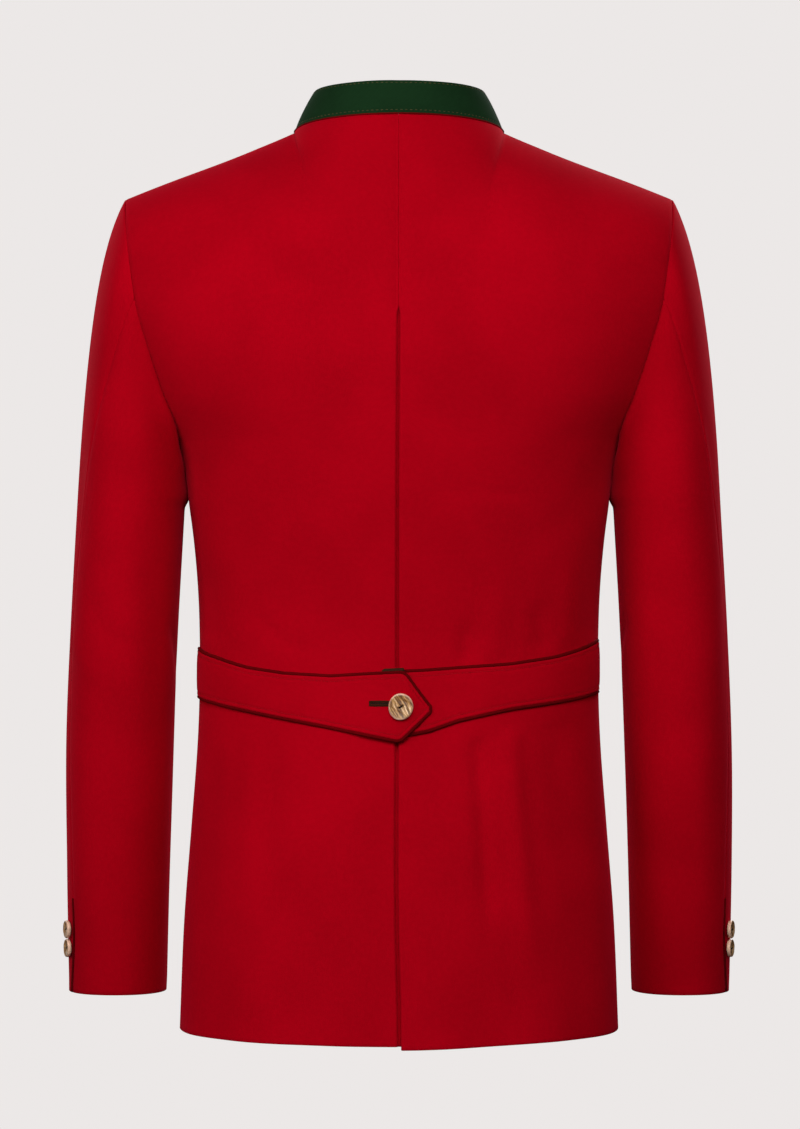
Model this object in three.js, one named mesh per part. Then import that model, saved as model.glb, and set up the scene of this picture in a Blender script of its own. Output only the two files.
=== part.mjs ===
// A man's trachten jacket of milled red wool, closed and filled out as worn, about size 50.
// Millimetres, +Z up. The front faces -Y and the wearer's left is +X. The origin is the centre
// of the neck, level with the points where the shoulder seams meet the collar.
import * as THREE from "three";

// ---------- Driving sizes ----------
const GAP = 0.3; // between neighbouring pieces at a seam
const CLOTH = 2.0; // wall of the body and sleeve cloth
const FOLD_GAP = 0.4; // inside a pressed fold
const HEM_Z = -725.5;
const HEM_DIP = 2; // how much lower the hem hangs at the centre lines than at the side seams
const UNDERARM_Z = -252;
const CUFF_Z = -700;
const BICEPS_Z = -300;
const SIDE_SEAM = 85; // degrees round from the centre back
const BACK_FULLNESS = 2.5; // squareness of the back half of a level section, 2 is an ellipse
const FRONT_FULLNESS = 2.4;
const SLEEVE_FULLNESS = 2.15;

const NECK = { half: 84, side: -2, back: 74, front: 90, rise: 8, drop: 64 };
const SHOULDER = { x: 221, y: -8, z: -54, hollow: 1.2 };

// Level sections of the body from hem to yoke: half width at the side, then the depth
// of the centre back, the centre front and the widest line.
const BODY = [
  { z: -728, half: 177, back: 129, front: -128, side: -2 },
  { z: -640, half: 173.5, back: 125, front: -128, side: -4 },
  { z: -560, half: 167.5, back: 118, front: -128, side: -6 },
  { z: -490, half: 162.5, back: 109, front: -128, side: -8 },
  { z: -430, half: 161, back: 105, front: -127, side: -8 },
  { z: -370, half: 162.5, back: 108, front: -129, side: -8 },
  { z: -310, half: 168.5, back: 116, front: -135, side: -8 },
  { z: -252, half: 179.5, back: 123, front: -140, side: -8 },
  { z: -213, half: 208, back: 126, front: -141, side: -8 },
  { z: -182, half: 224, back: 128, front: -139, side: -8 },
  { z: -147, half: 236, back: 127, front: -134, side: -8 },
  { z: -110, half: 240, back: 122, front: -123, side: -8 },
];

// Armhole edge of the back and of the front, from underarm to yoke: the height at the
// centre of the row that ends there, the height of the edge and its angle in degrees.
const ARMHOLE_BACK = [
  { centre: -252, edge: -252, angle: 85 },
  { centre: -232, edge: -247, angle: 76.5 },
  { centre: -210, edge: -234, angle: 70.8 },
  { centre: -187, edge: -213, angle: 68.4 },
  { centre: -163, edge: -182, angle: 67.9 },
  { centre: -137, edge: -147, angle: 69 },
  { centre: -110, edge: -110, angle: 70.8 },
];
const ARMHOLE_FRONT = [
  { centre: -252, edge: -252, angle: 85 },
  { centre: -232, edge: -248, angle: 94.5 },
  { centre: -210, edge: -236, angle: 103.5 },
  { centre: -187, edge: -215, angle: 110 },
  { centre: -163, edge: -183, angle: 112.5 },
  { centre: -137, edge: -148, angle: 112.5 },
  { centre: -110, edge: -110, angle: 111 },
];

// Soft drapes of the skirt: where the furrow lies round the body in degrees from the centre
// back, its depth, its width in degrees and the height where it has faded out.
const DRAPES = [
  { angle: 30, depth: -1.8, width: 8, high: -540 },
  { angle: 58, depth: -2.4, width: 8, high: -500 },
  { angle: 128, depth: -2.4, width: 9, high: -520 },
];

// Level rings of the left sleeve below the cap: centre, half width and half depth.
const SLEEVE = [
  { z: -700, x: 231.5, y: -44, halfX: 39, halfY: 46 },
  { z: -600, x: 230, y: -27, halfX: 41, halfY: 52 },
  { z: -500, x: 227.6, y: -13, halfX: 42.6, halfY: 58 },
  { z: -400, x: 223.3, y: -5, halfX: 42.6, halfY: 65 },
  { z: -300, x: 217.8, y: -6, halfX: 42.6, halfY: 72 },
];
// Sleeve seams, in degrees round the sleeve from its outer side towards the back.
const SLEEVE_SEAMS = [
  { z: -700, hind: 34, fore: -150 },
  { z: -655, hind: 43, fore: -149 },
  { z: -600, hind: 42, fore: -147 },
  { z: -420, hind: 37, fore: -138 },
  { z: -330, hind: 47, fore: -128 },
  { z: -260, hind: 60, fore: -120 },
  { z: -200, hind: 72, fore: -114 },
  { z: -130, hind: 82, fore: -110 },
];
const CAP_PULL = 0.66; // share of its chord that the cap keeps its first direction for
const CAP_ROWS = 8;
const ARM_ROWS = 10;

const COLLAR_CLOTH = 2.4;
const COLLAR_FRONT_GAP = 2; // half the gap between the collar's two front ends, in degrees
// How far the collar rises and leans in, and how much further its top edge curls in, by degrees
// round from the centre back.
const COLLAR = [
  { angle: 0, rise: 27, lean: 7, curl: 0 },
  { angle: 45, rise: 28.5, lean: 9, curl: 1 },
  { angle: 90, rise: 31, lean: 11, curl: 4.5 },
  { angle: 135, rise: 31, lean: 9.5, curl: 2 },
  { angle: 168, rise: 30, lean: 7, curl: 0.5 },
  { angle: 178, rise: 22, lean: 5, curl: 0 },
];

const PLEAT = { top: -147, allowance: 9, depth: 28, taper: 30, openTop: 0.5, openHem: 2.2 };

const BELT_CLOTH = 2.0;
const PIPING_RADIUS = 0.9;
// Edges of the two belt pieces, by degrees round from the centre back.
const BELT_LEFT = [
  { angle: -11.7, top: -463, bottom: -465 },
  { angle: -7, top: -450, bottom: -474.5 },
  { angle: -2.2, top: -436.2, bottom: -484 },
  { angle: 0, top: -435.6, bottom: -488 },
  { angle: 11.5, top: -436.8, bottom: -483.3 },
  { angle: 25.9, top: -438.8, bottom: -477 },
  { angle: 41.5, top: -437.1, bottom: -470.5 },
  { angle: 54, top: -433, bottom: -465 },
  { angle: 66.6, top: -425.5, bottom: -460 },
  { angle: 82, top: -419.2, bottom: -456 },
];
const BELT_RIGHT = [
  { angle: -6, top: -435.5, bottom: -486 },
  { angle: 0, top: -435, bottom: -484 },
  { angle: 11.5, top: -434, bottom: -479.5 },
  { angle: 22, top: -432.4, bottom: -471.8 },
  { angle: 40.5, top: -429.8, bottom: -463 },
  { angle: 55.5, top: -424.8, bottom: -458.5 },
  { angle: 71.5, top: -416, bottom: -453.5 },
  { angle: 79, top: -412.5, bottom: -451.8 },
];
const BELT_ROWS = 3;

const FRONT_LAP = 18; // how far each front runs past the centre front
const LAP_SINK = CLOTH + GAP + 0.3; // how far the right front lies under the left one
const LAP_EASE = 45; // how far from the lap's edge the right front comes up again

const VENT_TOP_Z = -622;
const EDGING = { width: 2.2, thick: 1.2 };
const BELT_BUTTON = { angle: -0.7, z: -462, radius: 10.3, thick: 4.2 };
const CUFF_BUTTON = { radius: 7.6, thick: 3.2, heights: [-648, -663.6], angle: 30 };
const FRONT_BUTTON = { radius: 9.5, thick: 4, top: -112, pitch: 88, count: 5 };
const CUFF_BUTTON_LIFT = CLOTH / 2 + GAP + 0.6; // off the middle of the cloth, which curves away
const FRONT_BUTTON_LIFT = CLOTH / 2 + GAP + 0.2;
// A button's outline from its back to the dish in its face, as shares of radius and thickness.
const BUTTON_PROFILE = [
  { out: 0, up: 0 },
  { out: 0.9, up: 0 },
  { out: 1, up: 0.35 },
  { out: 0.93, up: 0.9 },
  { out: 0.72, up: 1 },
  { out: 0, up: 0.78 },
];
const BUTTON_SIDES = 16;

const FINISH = {
  cloth: { color: 0xa80014, roughness: 0.92, metalness: 0 },
  underlay: { color: 0x8f0012, roughness: 0.92, metalness: 0 },
  collar: { color: 0x14301c, roughness: 0.95, metalness: 0 },
  piping: { color: 0x1a2014, roughness: 0.8, metalness: 0 },
  horn: { color: 0xa9794a, roughness: 0.55, metalness: 0 },
};

// ---------- Small mathematics ----------
const radians = THREE.MathUtils.degToRad;
const clamp = THREE.MathUtils.clamp;
const smooth = (t) => THREE.MathUtils.smoothstep(t, 0, 1);
const vector = (x, y, z) => new THREE.Vector3(x, y, z);
const range = (count) => Array.from({ length: count }, (_, i) => i);
const shares = (steps) => range(steps + 1).map((i) => i / steps);

function hermite(from, fromSlope, to, toSlope, t) {
  const t2 = t * t;
  const t3 = t2 * t;
  const start = from * (2 * t3 - 3 * t2 + 1) + fromSlope * (t3 - 2 * t2 + t);
  return start + to * (3 * t2 - 2 * t3) + toSlope * (t3 - t2);
}

// A smooth curve through one column of a table whose rows are in order of another column.
function curveThrough(rows, by, column) {
  const at = rows.map((row) => row[by]);
  const value = rows.map((row) => row[column]);
  const last = at.length - 1;
  const slope = at.map((_, i) => {
    const before = Math.max(i - 1, 0);
    const after = Math.min(i + 1, last);
    return (value[after] - value[before]) / (at[after] - at[before]);
  });
  return (wanted) => {
    const x = clamp(wanted, at[0], at[last]);
    const next = Math.max(1, at.findIndex((edge) => edge >= x));
    const step = at[next] - at[next - 1];
    const t = (x - at[next - 1]) / step;
    return hermite(value[next - 1], slope[next - 1] * step, value[next], slope[next] * step, t);
  };
}

function hermitePoint(from, fromDirection, to, toDirection, t) {
  return vector(
    hermite(from.x, fromDirection.x, to.x, toDirection.x, t),
    hermite(from.y, fromDirection.y, to.y, toDirection.y, t),
    hermite(from.z, fromDirection.z, to.z, toDirection.z, t),
  );
}

// ---------- Walls from grids ----------
// Unit normals of a grid of points, from the differences to the neighbours of each point.
function gridNormals(grid) {
  const lastRow = grid.length - 1;
  const lastColumn = grid[0].length - 1;
  return grid.map((row, i) =>
    row.map((_, j) => {
      const below = grid[Math.max(i - 1, 0)][j];
      const above = grid[Math.min(i + 1, lastRow)][j];
      const before = row[Math.max(j - 1, 0)];
      const after = row[Math.min(j + 1, lastColumn)];
      const up = above.clone().sub(below);
      const along = after.clone().sub(before);
      return along.cross(up).normalize();
    }),
  );
}

// A closed wall: the grid moved out and in by half the thickness along its normals. A grid's
// columns run anticlockwise seen from outside with its rows going up, so the normals face out.
function wall(grid, thickness, normals = gridNormals(grid)) {
  const rows = grid.length;
  const columns = grid[0].length;
  const half = thickness / 2;
  const layer = (sign) =>
    grid.flatMap((row, i) =>
      row.map((point, j) => point.clone().addScaledVector(normals[i][j], sign * half)),
    );
  const points = [...layer(1), ...layer(-1)];
  const count = rows * columns;
  const outer = (i, j) => i * columns + j;
  const inner = (i, j) => count + i * columns + j;
  const faces = [];
  const quad = (a, b, c, d) => faces.push(a, b, c, a, c, d);
  for (let i = 0; i + 1 < rows; i += 1) {
    for (let j = 0; j + 1 < columns; j += 1) {
      quad(outer(i, j), outer(i, j + 1), outer(i + 1, j + 1), outer(i + 1, j));
      quad(inner(i, j), inner(i + 1, j), inner(i + 1, j + 1), inner(i, j + 1));
    }
    quad(inner(i, 0), outer(i, 0), outer(i + 1, 0), inner(i + 1, 0));
    quad(outer(i, columns - 1), inner(i, columns - 1), inner(i + 1, columns - 1), outer(i + 1, columns - 1));
  }
  for (let j = 0; j + 1 < columns; j += 1) {
    quad(outer(0, j), inner(0, j), inner(0, j + 1), outer(0, j + 1));
    quad(outer(rows - 1, j), outer(rows - 1, j + 1), inner(rows - 1, j + 1), inner(rows - 1, j));
  }
  return meshGeometry(points, faces);
}

function meshGeometry(points, faces) {
  const geometry = new THREE.BufferGeometry().setFromPoints(points);
  geometry.setIndex(faces);
  geometry.computeVertexNormals();
  return geometry;
}

// The same geometry on the wearer's other side.
function mirrored(geometry) {
  const copy = geometry.clone().scale(-1, 1, 1);
  const faces = Array.from(copy.getIndex().array);
  for (let i = 0; i < faces.length; i += 3) {
    [faces[i + 1], faces[i + 2]] = [faces[i + 2], faces[i + 1]];
  }
  copy.setIndex(faces);
  copy.computeVertexNormals();
  return copy;
}

function named(name, geometry, finish) {
  const mesh = new THREE.Mesh(geometry, new THREE.MeshStandardMaterial(finish));
  mesh.name = name;
  return mesh;
}

// ---------- The body's surface ----------
const bodyHalf = curveThrough(BODY, "z", "half");
const bodyBack = curveThrough(BODY, "z", "back");
const bodyFront = curveThrough(BODY, "z", "front");
const bodySide = curveThrough(BODY, "z", "side");

// How far the drapes push the cloth out at an angle and a height.
function drape(degrees, z) {
  return DRAPES.reduce((sum, fold) => {
    const across = (degrees - fold.angle) / fold.width;
    const down = smooth((fold.high - z) / (fold.high - HEM_Z));
    return sum + fold.depth * down * Math.exp(-across * across);
  }, 0);
}

// A point of the body at an angle in degrees from the centre back, on a superellipse whose back
// and front halves share the widest line. Negative angles are on the wearer's right.
function bodyPoint(degrees, z) {
  const angle = radians(degrees);
  const sin = Math.sin(angle);
  const cos = Math.cos(angle);
  const side = bodySide(z);
  const depth = cos > 0 ? bodyBack(z) - side : side - bodyFront(z);
  const fullness = cos > 0 ? BACK_FULLNESS : FRONT_FULLNESS;
  const across = Math.abs(sin / bodyHalf(z)) ** fullness;
  const along = Math.abs(cos / depth) ** fullness;
  const radius = (across + along) ** (-1 / fullness) + drape(degrees, z);
  return vector(radius * sin, side + radius * cos, z);
}

// The neckline at an angle in degrees from the centre back.
function neckPoint(degrees) {
  const cos = Math.cos(radians(degrees));
  const front = Math.max(-cos, 0);
  const depth = cos > 0 ? NECK.back : NECK.front;
  const z = NECK.rise * cos - NECK.drop * front * front;
  return vector(NECK.half * Math.sin(radians(degrees)), NECK.side + depth * cos, z);
}

// The shoulder seam from the neck, at 0, to the tip, at 1, hollowed most by the neck.
function shoulderPoint(t) {
  const neck = neckPoint(90);
  const tip = vector(SHOULDER.x, SHOULDER.y, SHOULDER.z);
  const point = neck.lerp(tip, t);
  point.z -= SHOULDER.hollow * Math.sin(Math.PI * t) * (1 + Math.cos(Math.PI * t));
  return point;
}

const PANEL_STEPS = 10;
const NECK_STEPS = 4; // columns of a panel that end on the neckline
const SKIRT_ROWS = 11;
const YOKE_ROWS = 5;

// Where the columns of a panel end on the neckline and shoulder seam.
function topEdge(column, centreDegrees) {
  if (column <= NECK_STEPS) {
    const t = column / NECK_STEPS;
    return neckPoint(centreDegrees + (90 - centreDegrees) * t);
  }
  return shoulderPoint((column - NECK_STEPS) / (PANEL_STEPS - NECK_STEPS));
}

// Which way the cloth runs where a column of the back or the front meets the top edge.
function topDirection(column, facing) {
  const t = smooth(column / (NECK_STEPS + 1.5));
  const neck = facing > 0 ? vector(0, -0.6, 0.8) : vector(0, 0.7, 0.72);
  return neck.lerp(vector(0, -facing, 0), t).normalize();
}

// One half of the back (facing 1) or of the front (facing -1) on the wearer's left, as rows of
// points from the centre line to the side seam and armhole.
function panelGrid(armhole, facing) {
  const centre = facing > 0 ? 0 : 180;
  const row = (centreZ, edgeZ, edgeAngle) =>
    shares(PANEL_STEPS).map((t) => {
      const z = THREE.MathUtils.lerp(centreZ, edgeZ, smooth(t));
      return bodyPoint(THREE.MathUtils.lerp(centre, edgeAngle, t), z);
    });
  const skirt = range(SKIRT_ROWS).map((i) => {
    const up = i / SKIRT_ROWS;
    const z = THREE.MathUtils.lerp(HEM_Z, UNDERARM_Z, up);
    return row(z - HEM_DIP * (1 - up), z, SIDE_SEAM);
  });
  const chest = armhole.map(({ centre: middle, edge, angle }) => row(middle, edge, angle));
  const grid = [...skirt, ...chest];
  const lastRow = grid[grid.length - 1];
  const rowBelow = grid[grid.length - 2];
  const yoke = range(YOKE_ROWS).map((i) =>
    lastRow.map((from, column) => {
      const to = topEdge(column, centre);
      const chord = to.distanceTo(from);
      const leave = from.clone().sub(rowBelow[column]).setLength(chord);
      const arrive = topDirection(column, facing).setLength(chord);
      return hermitePoint(from, leave, to, arrive, (i + 1) / YOKE_ROWS);
    }),
  );
  return [...grid, ...yoke];
}

// Moves the last column and the last row in by half a seam gap, towards their neighbours.
function insetEdges(grid) {
  const shift = (point, towards) =>
    point.addScaledVector(towards.clone().sub(point).normalize(), GAP / 2);
  const lastColumn = grid[0].length - 1;
  const lastRow = grid.length - 1;
  grid.forEach((row) => shift(row[lastColumn], row[lastColumn - 1]));
  grid[lastRow].forEach((point, j) => shift(point, grid[lastRow - 1][j]));
  return grid;
}

// Normals of a panel, facing out. The centre line's own lie in the plane that halves the jacket.
function panelNormals(base, facing) {
  const normals = gridNormals(base);
  normals.forEach((row) => row.forEach((normal) => normal.multiplyScalar(-facing)));
  normals.forEach((row) => row[0].setX(0).normalize());
  return normals;
}

const backBase = insetEdges(panelGrid(ARMHOLE_BACK, 1));
const backNormals = panelNormals(backBase, 1);
const frontBase = insetEdges(panelGrid(ARMHOLE_FRONT, -1));
const frontNormals = panelNormals(frontBase, -1);

// Gives both sides of a seam the same normal, so that their cut edges stay parallel.
function shareNormals(row, column) {
  const shared = backNormals[row][column].clone().add(frontNormals[row][column]).normalize();
  backNormals[row][column].copy(shared);
  frontNormals[row][column].copy(shared);
}

range(SKIRT_ROWS + 1).forEach((row) => shareNormals(row, PANEL_STEPS));
range(PANEL_STEPS - NECK_STEPS + 1).forEach((i) => {
  shareNormals(backBase.length - 1, NECK_STEPS + i);
});

// The point of a panel's row at a distance from the centre line, with its normal.
function rowPoint(points, normals, x) {
  const next = Math.max(1, points.findIndex((point) => point.x >= x));
  const t = (x - points[next - 1].x) / (points[next].x - points[next - 1].x);
  const normal = normals[next - 1].clone().lerp(normals[next], t).normalize();
  return { point: points[next - 1].clone().lerp(points[next], t), normal };
}

// ---------- Back panels and pleat ----------
// The point of a back row at a distance from the centre line, moved in by a depth.
function backRowPoint(row, x, depth) {
  const { point, normal } = rowPoint(backBase[row], backNormals[row], x);
  return point.addScaledVector(normal, -depth);
}

const FOLD_RADIUS = (CLOTH + FOLD_GAP) / 2;
const FOLD_TURNS = [180, 130, 90, 50];

function pleatOpen(z) {
  const down = smooth((PLEAT.top - z) / (PLEAT.top - HEM_Z));
  return THREE.MathUtils.lerp(PLEAT.openTop, PLEAT.openHem, down);
}

// How far the folded edge runs back under the panel: a seam allowance above the pleat.
function returnWidth(z) {
  const t = smooth((PLEAT.top + PLEAT.taper - z) / PLEAT.taper);
  return THREE.MathUtils.lerp(PLEAT.allowance, PLEAT.depth, t);
}

function backPanel() {
  const grid = backBase.map((row, i) => {
    const z = row[0].z;
    const foldX = pleatOpen(z) / 2 + FOLD_RADIUS + CLOTH / 2;
    const folded = returnWidth(z);
    const under = [folded, (folded + foldX) / 2].map((x) => backRowPoint(i, x, 2 * FOLD_RADIUS));
    const turn = FOLD_TURNS.map((degrees) => {
      const x = foldX - FOLD_RADIUS * Math.sin(radians(degrees));
      return backRowPoint(i, x, FOLD_RADIUS * (1 - Math.cos(radians(degrees))));
    });
    const face = [backRowPoint(i, foldX, 0), ...row.slice(1)];
    return [...under, ...turn, ...face].reverse();
  });
  const normals = gridNormals(grid);
  normals.forEach((row, i) => {
    range(PANEL_STEPS).forEach((j) => row[j].copy(backNormals[i][PANEL_STEPS - j]));
  });
  return wall(grid, CLOTH, normals);
}

function pleatUnderlay() {
  const depth = 2 * FOLD_RADIUS + CLOTH + GAP;
  const rows = range(backBase.length).filter((i) => backBase[i][0].z <= PLEAT.top + 1);
  const across = [-1, -0.5, 0, 0.5, 1];
  const grid = rows.map((i) =>
    across.map((share) => {
      const point = backRowPoint(i, Math.abs(share) * PLEAT.depth, depth);
      point.x *= Math.sign(share) || 1;
      return point;
    }).reverse(),
  );
  return wall(grid, CLOTH);
}

// ---------- Fronts ----------
// A front with its lap past the centre line, which mirrors the cloth on this side of it.
function frontPanel(sink) {
  const rows = frontBase.map((points, i) => {
    const lap = rowPoint(points, frontNormals[i], FRONT_LAP);
    [lap.point, lap.normal].forEach((made) => (made.x *= -1));
    return [lap, ...points.map((point, j) => ({ point, normal: frontNormals[i][j] }))];
  });
  const grid = rows.map((row) =>
    row.map(({ point, normal }) => {
      const share = 1 - smooth((point.x - FRONT_LAP) / LAP_EASE);
      return point.clone().addScaledVector(normal, -sink * share);
    }),
  );
  return wall(grid, CLOTH, rows.map((row) => row.map(({ normal }) => normal)));
}

// ---------- Sleeves ----------
const sleeveX = curveThrough(SLEEVE, "z", "x");
const sleeveY = curveThrough(SLEEVE, "z", "y");
const sleeveHalfX = curveThrough(SLEEVE, "z", "halfX");
const sleeveHalfY = curveThrough(SLEEVE, "z", "halfY");
const hindSeam = curveThrough(SLEEVE_SEAMS, "z", "hind");
const foreSeam = curveThrough(SLEEVE_SEAMS, "z", "fore");

function sleeveRing(degrees, z) {
  const cos = Math.cos(radians(degrees));
  const sin = Math.sin(radians(degrees));
  const power = SLEEVE_FULLNESS;
  const across = Math.abs(cos / sleeveHalfX(z)) ** power;
  const along = Math.abs(sin / sleeveHalfY(z)) ** power;
  const radius = (across + along) ** (-1 / power);
  return vector(sleeveX(z) + radius * cos, sleeveY(z) + radius * sin, z);
}

// Where a wall of the given half thickness starts when it leaves the cut edge of the body's cloth:
// clear of the edge by the seam gap, and beside the cloth where the wall turns back along it.
function leaveEdge({ point, normal, out }, direction, half) {
  const outward = direction.dot(out);
  const over = direction.dot(normal);
  const turn = Math.atan2(Math.abs(over), outward);
  const aside = smooth((turn - radians(60)) / radians(40)) * Math.sign(over);
  const clear = GAP + half * Math.sin(turn);
  const beside = aside * (CLOTH / 2 + GAP + half * Math.abs(Math.cos(turn)));
  return point.clone().addScaledVector(out, clear).addScaledVector(normal, beside);
}

// The armhole as one loop of points with the body's normal and the way out of the panel there,
// from the shoulder tip down the back to the underarm and up the front.
const armholeLoop = (() => {
  const edge = (base, normals) =>
    range(base.length - SKIRT_ROWS).map((i) => ({
      point: base[SKIRT_ROWS + i][PANEL_STEPS],
      normal: normals[SKIRT_ROWS + i][PANEL_STEPS],
    }));
  const loop = [...edge(backBase, backNormals).reverse(), ...edge(frontBase, frontNormals)];
  const last = loop.length - 1;
  return loop.map(({ point, normal }, i) => {
    const before = loop[Math.max(i - 1, 0)].point;
    const after = loop[Math.min(i + 1, last)].point;
    return { point, normal, out: after.clone().sub(before).cross(normal).normalize() };
  });
})();

// Length along the loop, as a share of each half: the top is 0, the underarm 180 degrees.
const loopDegrees = (() => {
  const half = armholeLoop.length / 2;
  const lengths = [0];
  for (let i = 1; i < armholeLoop.length; i += 1) {
    lengths.push(lengths[i - 1] + armholeLoop[i].point.distanceTo(armholeLoop[i - 1].point));
  }
  const middle = lengths[half - 1];
  const whole = lengths[armholeLoop.length - 1];
  const rest = whole - lengths[half];
  return lengths.map((length, i) =>
    i < half ? (180 * length) / middle : 180 + (180 * (length - lengths[half])) / rest,
  );
})();

// The armhole's point, normal and outward direction at an angle round the sleeve.
function armholeAt(degrees) {
  const wanted = THREE.MathUtils.euclideanModulo(degrees, 360);
  const next = clamp(loopDegrees.findIndex((value) => value > wanted), 1, armholeLoop.length - 1);
  const span = loopDegrees[next] - loopDegrees[next - 1] || 1;
  const t = clamp((wanted - loopDegrees[next - 1]) / span, 0, 1);
  const from = armholeLoop[next - 1];
  const to = armholeLoop[next];
  return {
    point: from.point.clone().lerp(to.point, t),
    normal: from.normal.clone().lerp(to.normal, t).normalize(),
    out: from.out.clone().lerp(to.out, t).normalize(),
  };
}

// A point of the sleeve: rows run from the cuff up to the armhole, and `share` runs across the
// piece, whose seams `between` gives in degrees at a height.
function sleevePoint(share, row, between) {
  const armZ = THREE.MathUtils.lerp(CUFF_Z, BICEPS_Z, Math.min(row / ARM_ROWS, 1));
  const capShare = Math.max(0, (row - ARM_ROWS) / CAP_ROWS);
  const seamZ = THREE.MathUtils.lerp(armZ, SLEEVE_SEAMS.at(-1).z, capShare);
  const degrees = between(seamZ, share);
  const foot = sleeveRing(degrees, armZ);
  if (capShare === 0) {
    return foot;
  }
  const outer = (1 + Math.cos(radians(degrees))) / 2;
  const leave = vector(
    THREE.MathUtils.lerp(0, 0.47, outer),
    0.15 * Math.sin(radians(degrees)),
    -THREE.MathUtils.lerp(1, 0.83, outer),
  ).normalize();
  const head = leaveEdge(armholeAt(degrees), leave, CLOTH / 2);
  const chord = head.distanceTo(foot);
  const below = sleeveRing(degrees, BICEPS_Z - 1).sub(foot).setLength(chord);
  return hermitePoint(head, leave.multiplyScalar(chord * CAP_PULL), foot, below, 1 - capShare);
}

// A sleeve piece between two seams. One more column beyond each seam gives both sides of the
// seam the same normals.
function sleevePiece(columns, between) {
  const grid = range(ARM_ROWS + CAP_ROWS + 1).map((row) =>
    range(columns + 3).map((j) => sleevePoint((j - 1) / columns, row, between)),
  );
  const normals = gridNormals(grid).map((row) => row.slice(1, -1));
  const face = grid.map((row) => row.slice(1, -1));
  const shift = (point, towards) =>
    point.addScaledVector(towards.clone().sub(point).normalize(), GAP / 2);
  face.forEach((row) => {
    shift(row[0], row[1]);
    shift(row[columns], row[columns - 1]);
  });
  return wall(face, CLOTH, normals);
}

const topSleeve = () =>
  sleevePiece(12, (z, share) => THREE.MathUtils.lerp(foreSeam(z), hindSeam(z), share));
const underSleeve = () =>
  sleevePiece(8, (z, share) => THREE.MathUtils.lerp(hindSeam(z), foreSeam(z) + 360, share));

// ---------- Collar ----------
const collarRise = curveThrough(COLLAR, "angle", "rise");
const collarLean = curveThrough(COLLAR, "angle", "lean");
const collarCurl = curveThrough(COLLAR, "angle", "curl");

const COLLAR_ROWS = 4;
const COLLAR_STEP = 90 / NECK_STEPS / 2; // degrees, so that every panel column has its own

// The neckline's cut edge at an angle from the centre back: its point, the body's normal there
// and the way up out of the panel. It reads the panel's own columns.
function neckEdge(degrees) {
  const facing = degrees <= 90 ? 1 : -1;
  const base = facing > 0 ? backBase : frontBase;
  const points = base[base.length - 1];
  const normals = (facing > 0 ? backNormals : frontNormals)[base.length - 1];
  const start = facing > 0 ? 0 : 180;
  const column = ((degrees - start) / (90 - start)) * NECK_STEPS;
  const before = clamp(Math.floor(column), 0, NECK_STEPS - 1);
  const normal = normals[before].clone().lerp(normals[before + 1], column - before).normalize();
  const point = points[before].clone().lerp(points[before + 1], column - before);
  const along = neckPoint(degrees + 1).sub(neckPoint(degrees - 1));
  return { point, normal, out: along.cross(normal).normalize() };
}

function collar() {
  const reach = 180 - COLLAR_FRONT_GAP;
  const steps = Math.floor(reach / COLLAR_STEP);
  const inner = range(2 * steps + 1).map((i) => (steps - i) * COLLAR_STEP);
  const columns = [reach, ...inner, -reach];
  const grid = shares(COLLAR_ROWS).map((up) =>
    columns.map((degrees) => {
      const turn = Math.abs(degrees);
      const inward = vector(-Math.sin(radians(turn)), -Math.cos(radians(turn)), 0);
      const lean = inward.clone().multiplyScalar(collarLean(turn));
      const direction = lean.add(vector(0, 0, collarRise(turn)));
      const start = leaveEdge(neckEdge(turn), direction.clone().normalize(), COLLAR_CLOTH / 2);
      const point = start
        .addScaledVector(direction, up)
        .addScaledVector(inward, collarCurl(turn) * up * up);
      point.x *= Math.sign(degrees) || 1;
      return point;
    }),
  );
  return wall(grid, COLLAR_CLOTH);
}

// ---------- Half belt ----------
// A point over the back panels at an angle and height, moved out from the middle of their cloth,
// with the outward normal there. It reads the panel's own rows and columns.
function overBack(degrees, z, height) {
  const turn = Math.abs(degrees);
  const row = ((z - HEM_Z) / (UNDERARM_Z - HEM_Z)) * SKIRT_ROWS;
  const column = Math.min((turn / SIDE_SEAM) * PANEL_STEPS, PANEL_STEPS);
  const i = Math.floor(row);
  const j = Math.min(Math.floor(column), PANEL_STEPS - 1);
  const mix = (grid) => {
    const below = grid[i][j].clone().lerp(grid[i][j + 1], column - j);
    const above = grid[i + 1][j].clone().lerp(grid[i + 1][j + 1], column - j);
    return below.lerp(above, row - i);
  };
  const normal = mix(backNormals).normalize();
  const point = mix(backBase).addScaledVector(normal, height);
  [point, normal].forEach((made) => (made.x *= Math.sign(degrees) || 1));
  return { point, normal };
}

const BELT_LIFT = 0.2; // ease under the belt, beyond the seam gap
const BELT_HEIGHT = CLOTH / 2 + GAP + BELT_LIFT + BELT_CLOTH / 2;

// The left belt piece climbs over the end of the right one near the centre back.
function beltHeight(degrees, laps) {
  const climb = laps ? 1 - smooth((degrees - 10) / 12) : 0;
  return BELT_HEIGHT + climb * (BELT_CLOTH + GAP + BELT_LIFT);
}

// Straight between the rows of a table, for edges that have corners.
function linesThrough(rows, by, column) {
  return (wanted) => {
    const next = clamp(rows.findIndex((row) => row[by] >= wanted), 1, rows.length - 1);
    const from = rows[next - 1];
    const to = rows[next];
    return THREE.MathUtils.mapLinear(wanted, from[by], to[by], from[column], to[column]);
  };
}

// The angles of a belt piece's columns: the corners of its free end, then every half column of
// the panel under it, up to the side seam.
function beltColumns(table) {
  const half = SIDE_SEAM / PANEL_STEPS / 2;
  const corners = table.map((row) => row.angle).filter((angle) => angle < half);
  const last = table[table.length - 1].angle;
  const regular = range(2 * PANEL_STEPS).map((i) => (i + 1) * half).filter((angle) => angle < last);
  return [...corners, ...regular, last];
}

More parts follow.
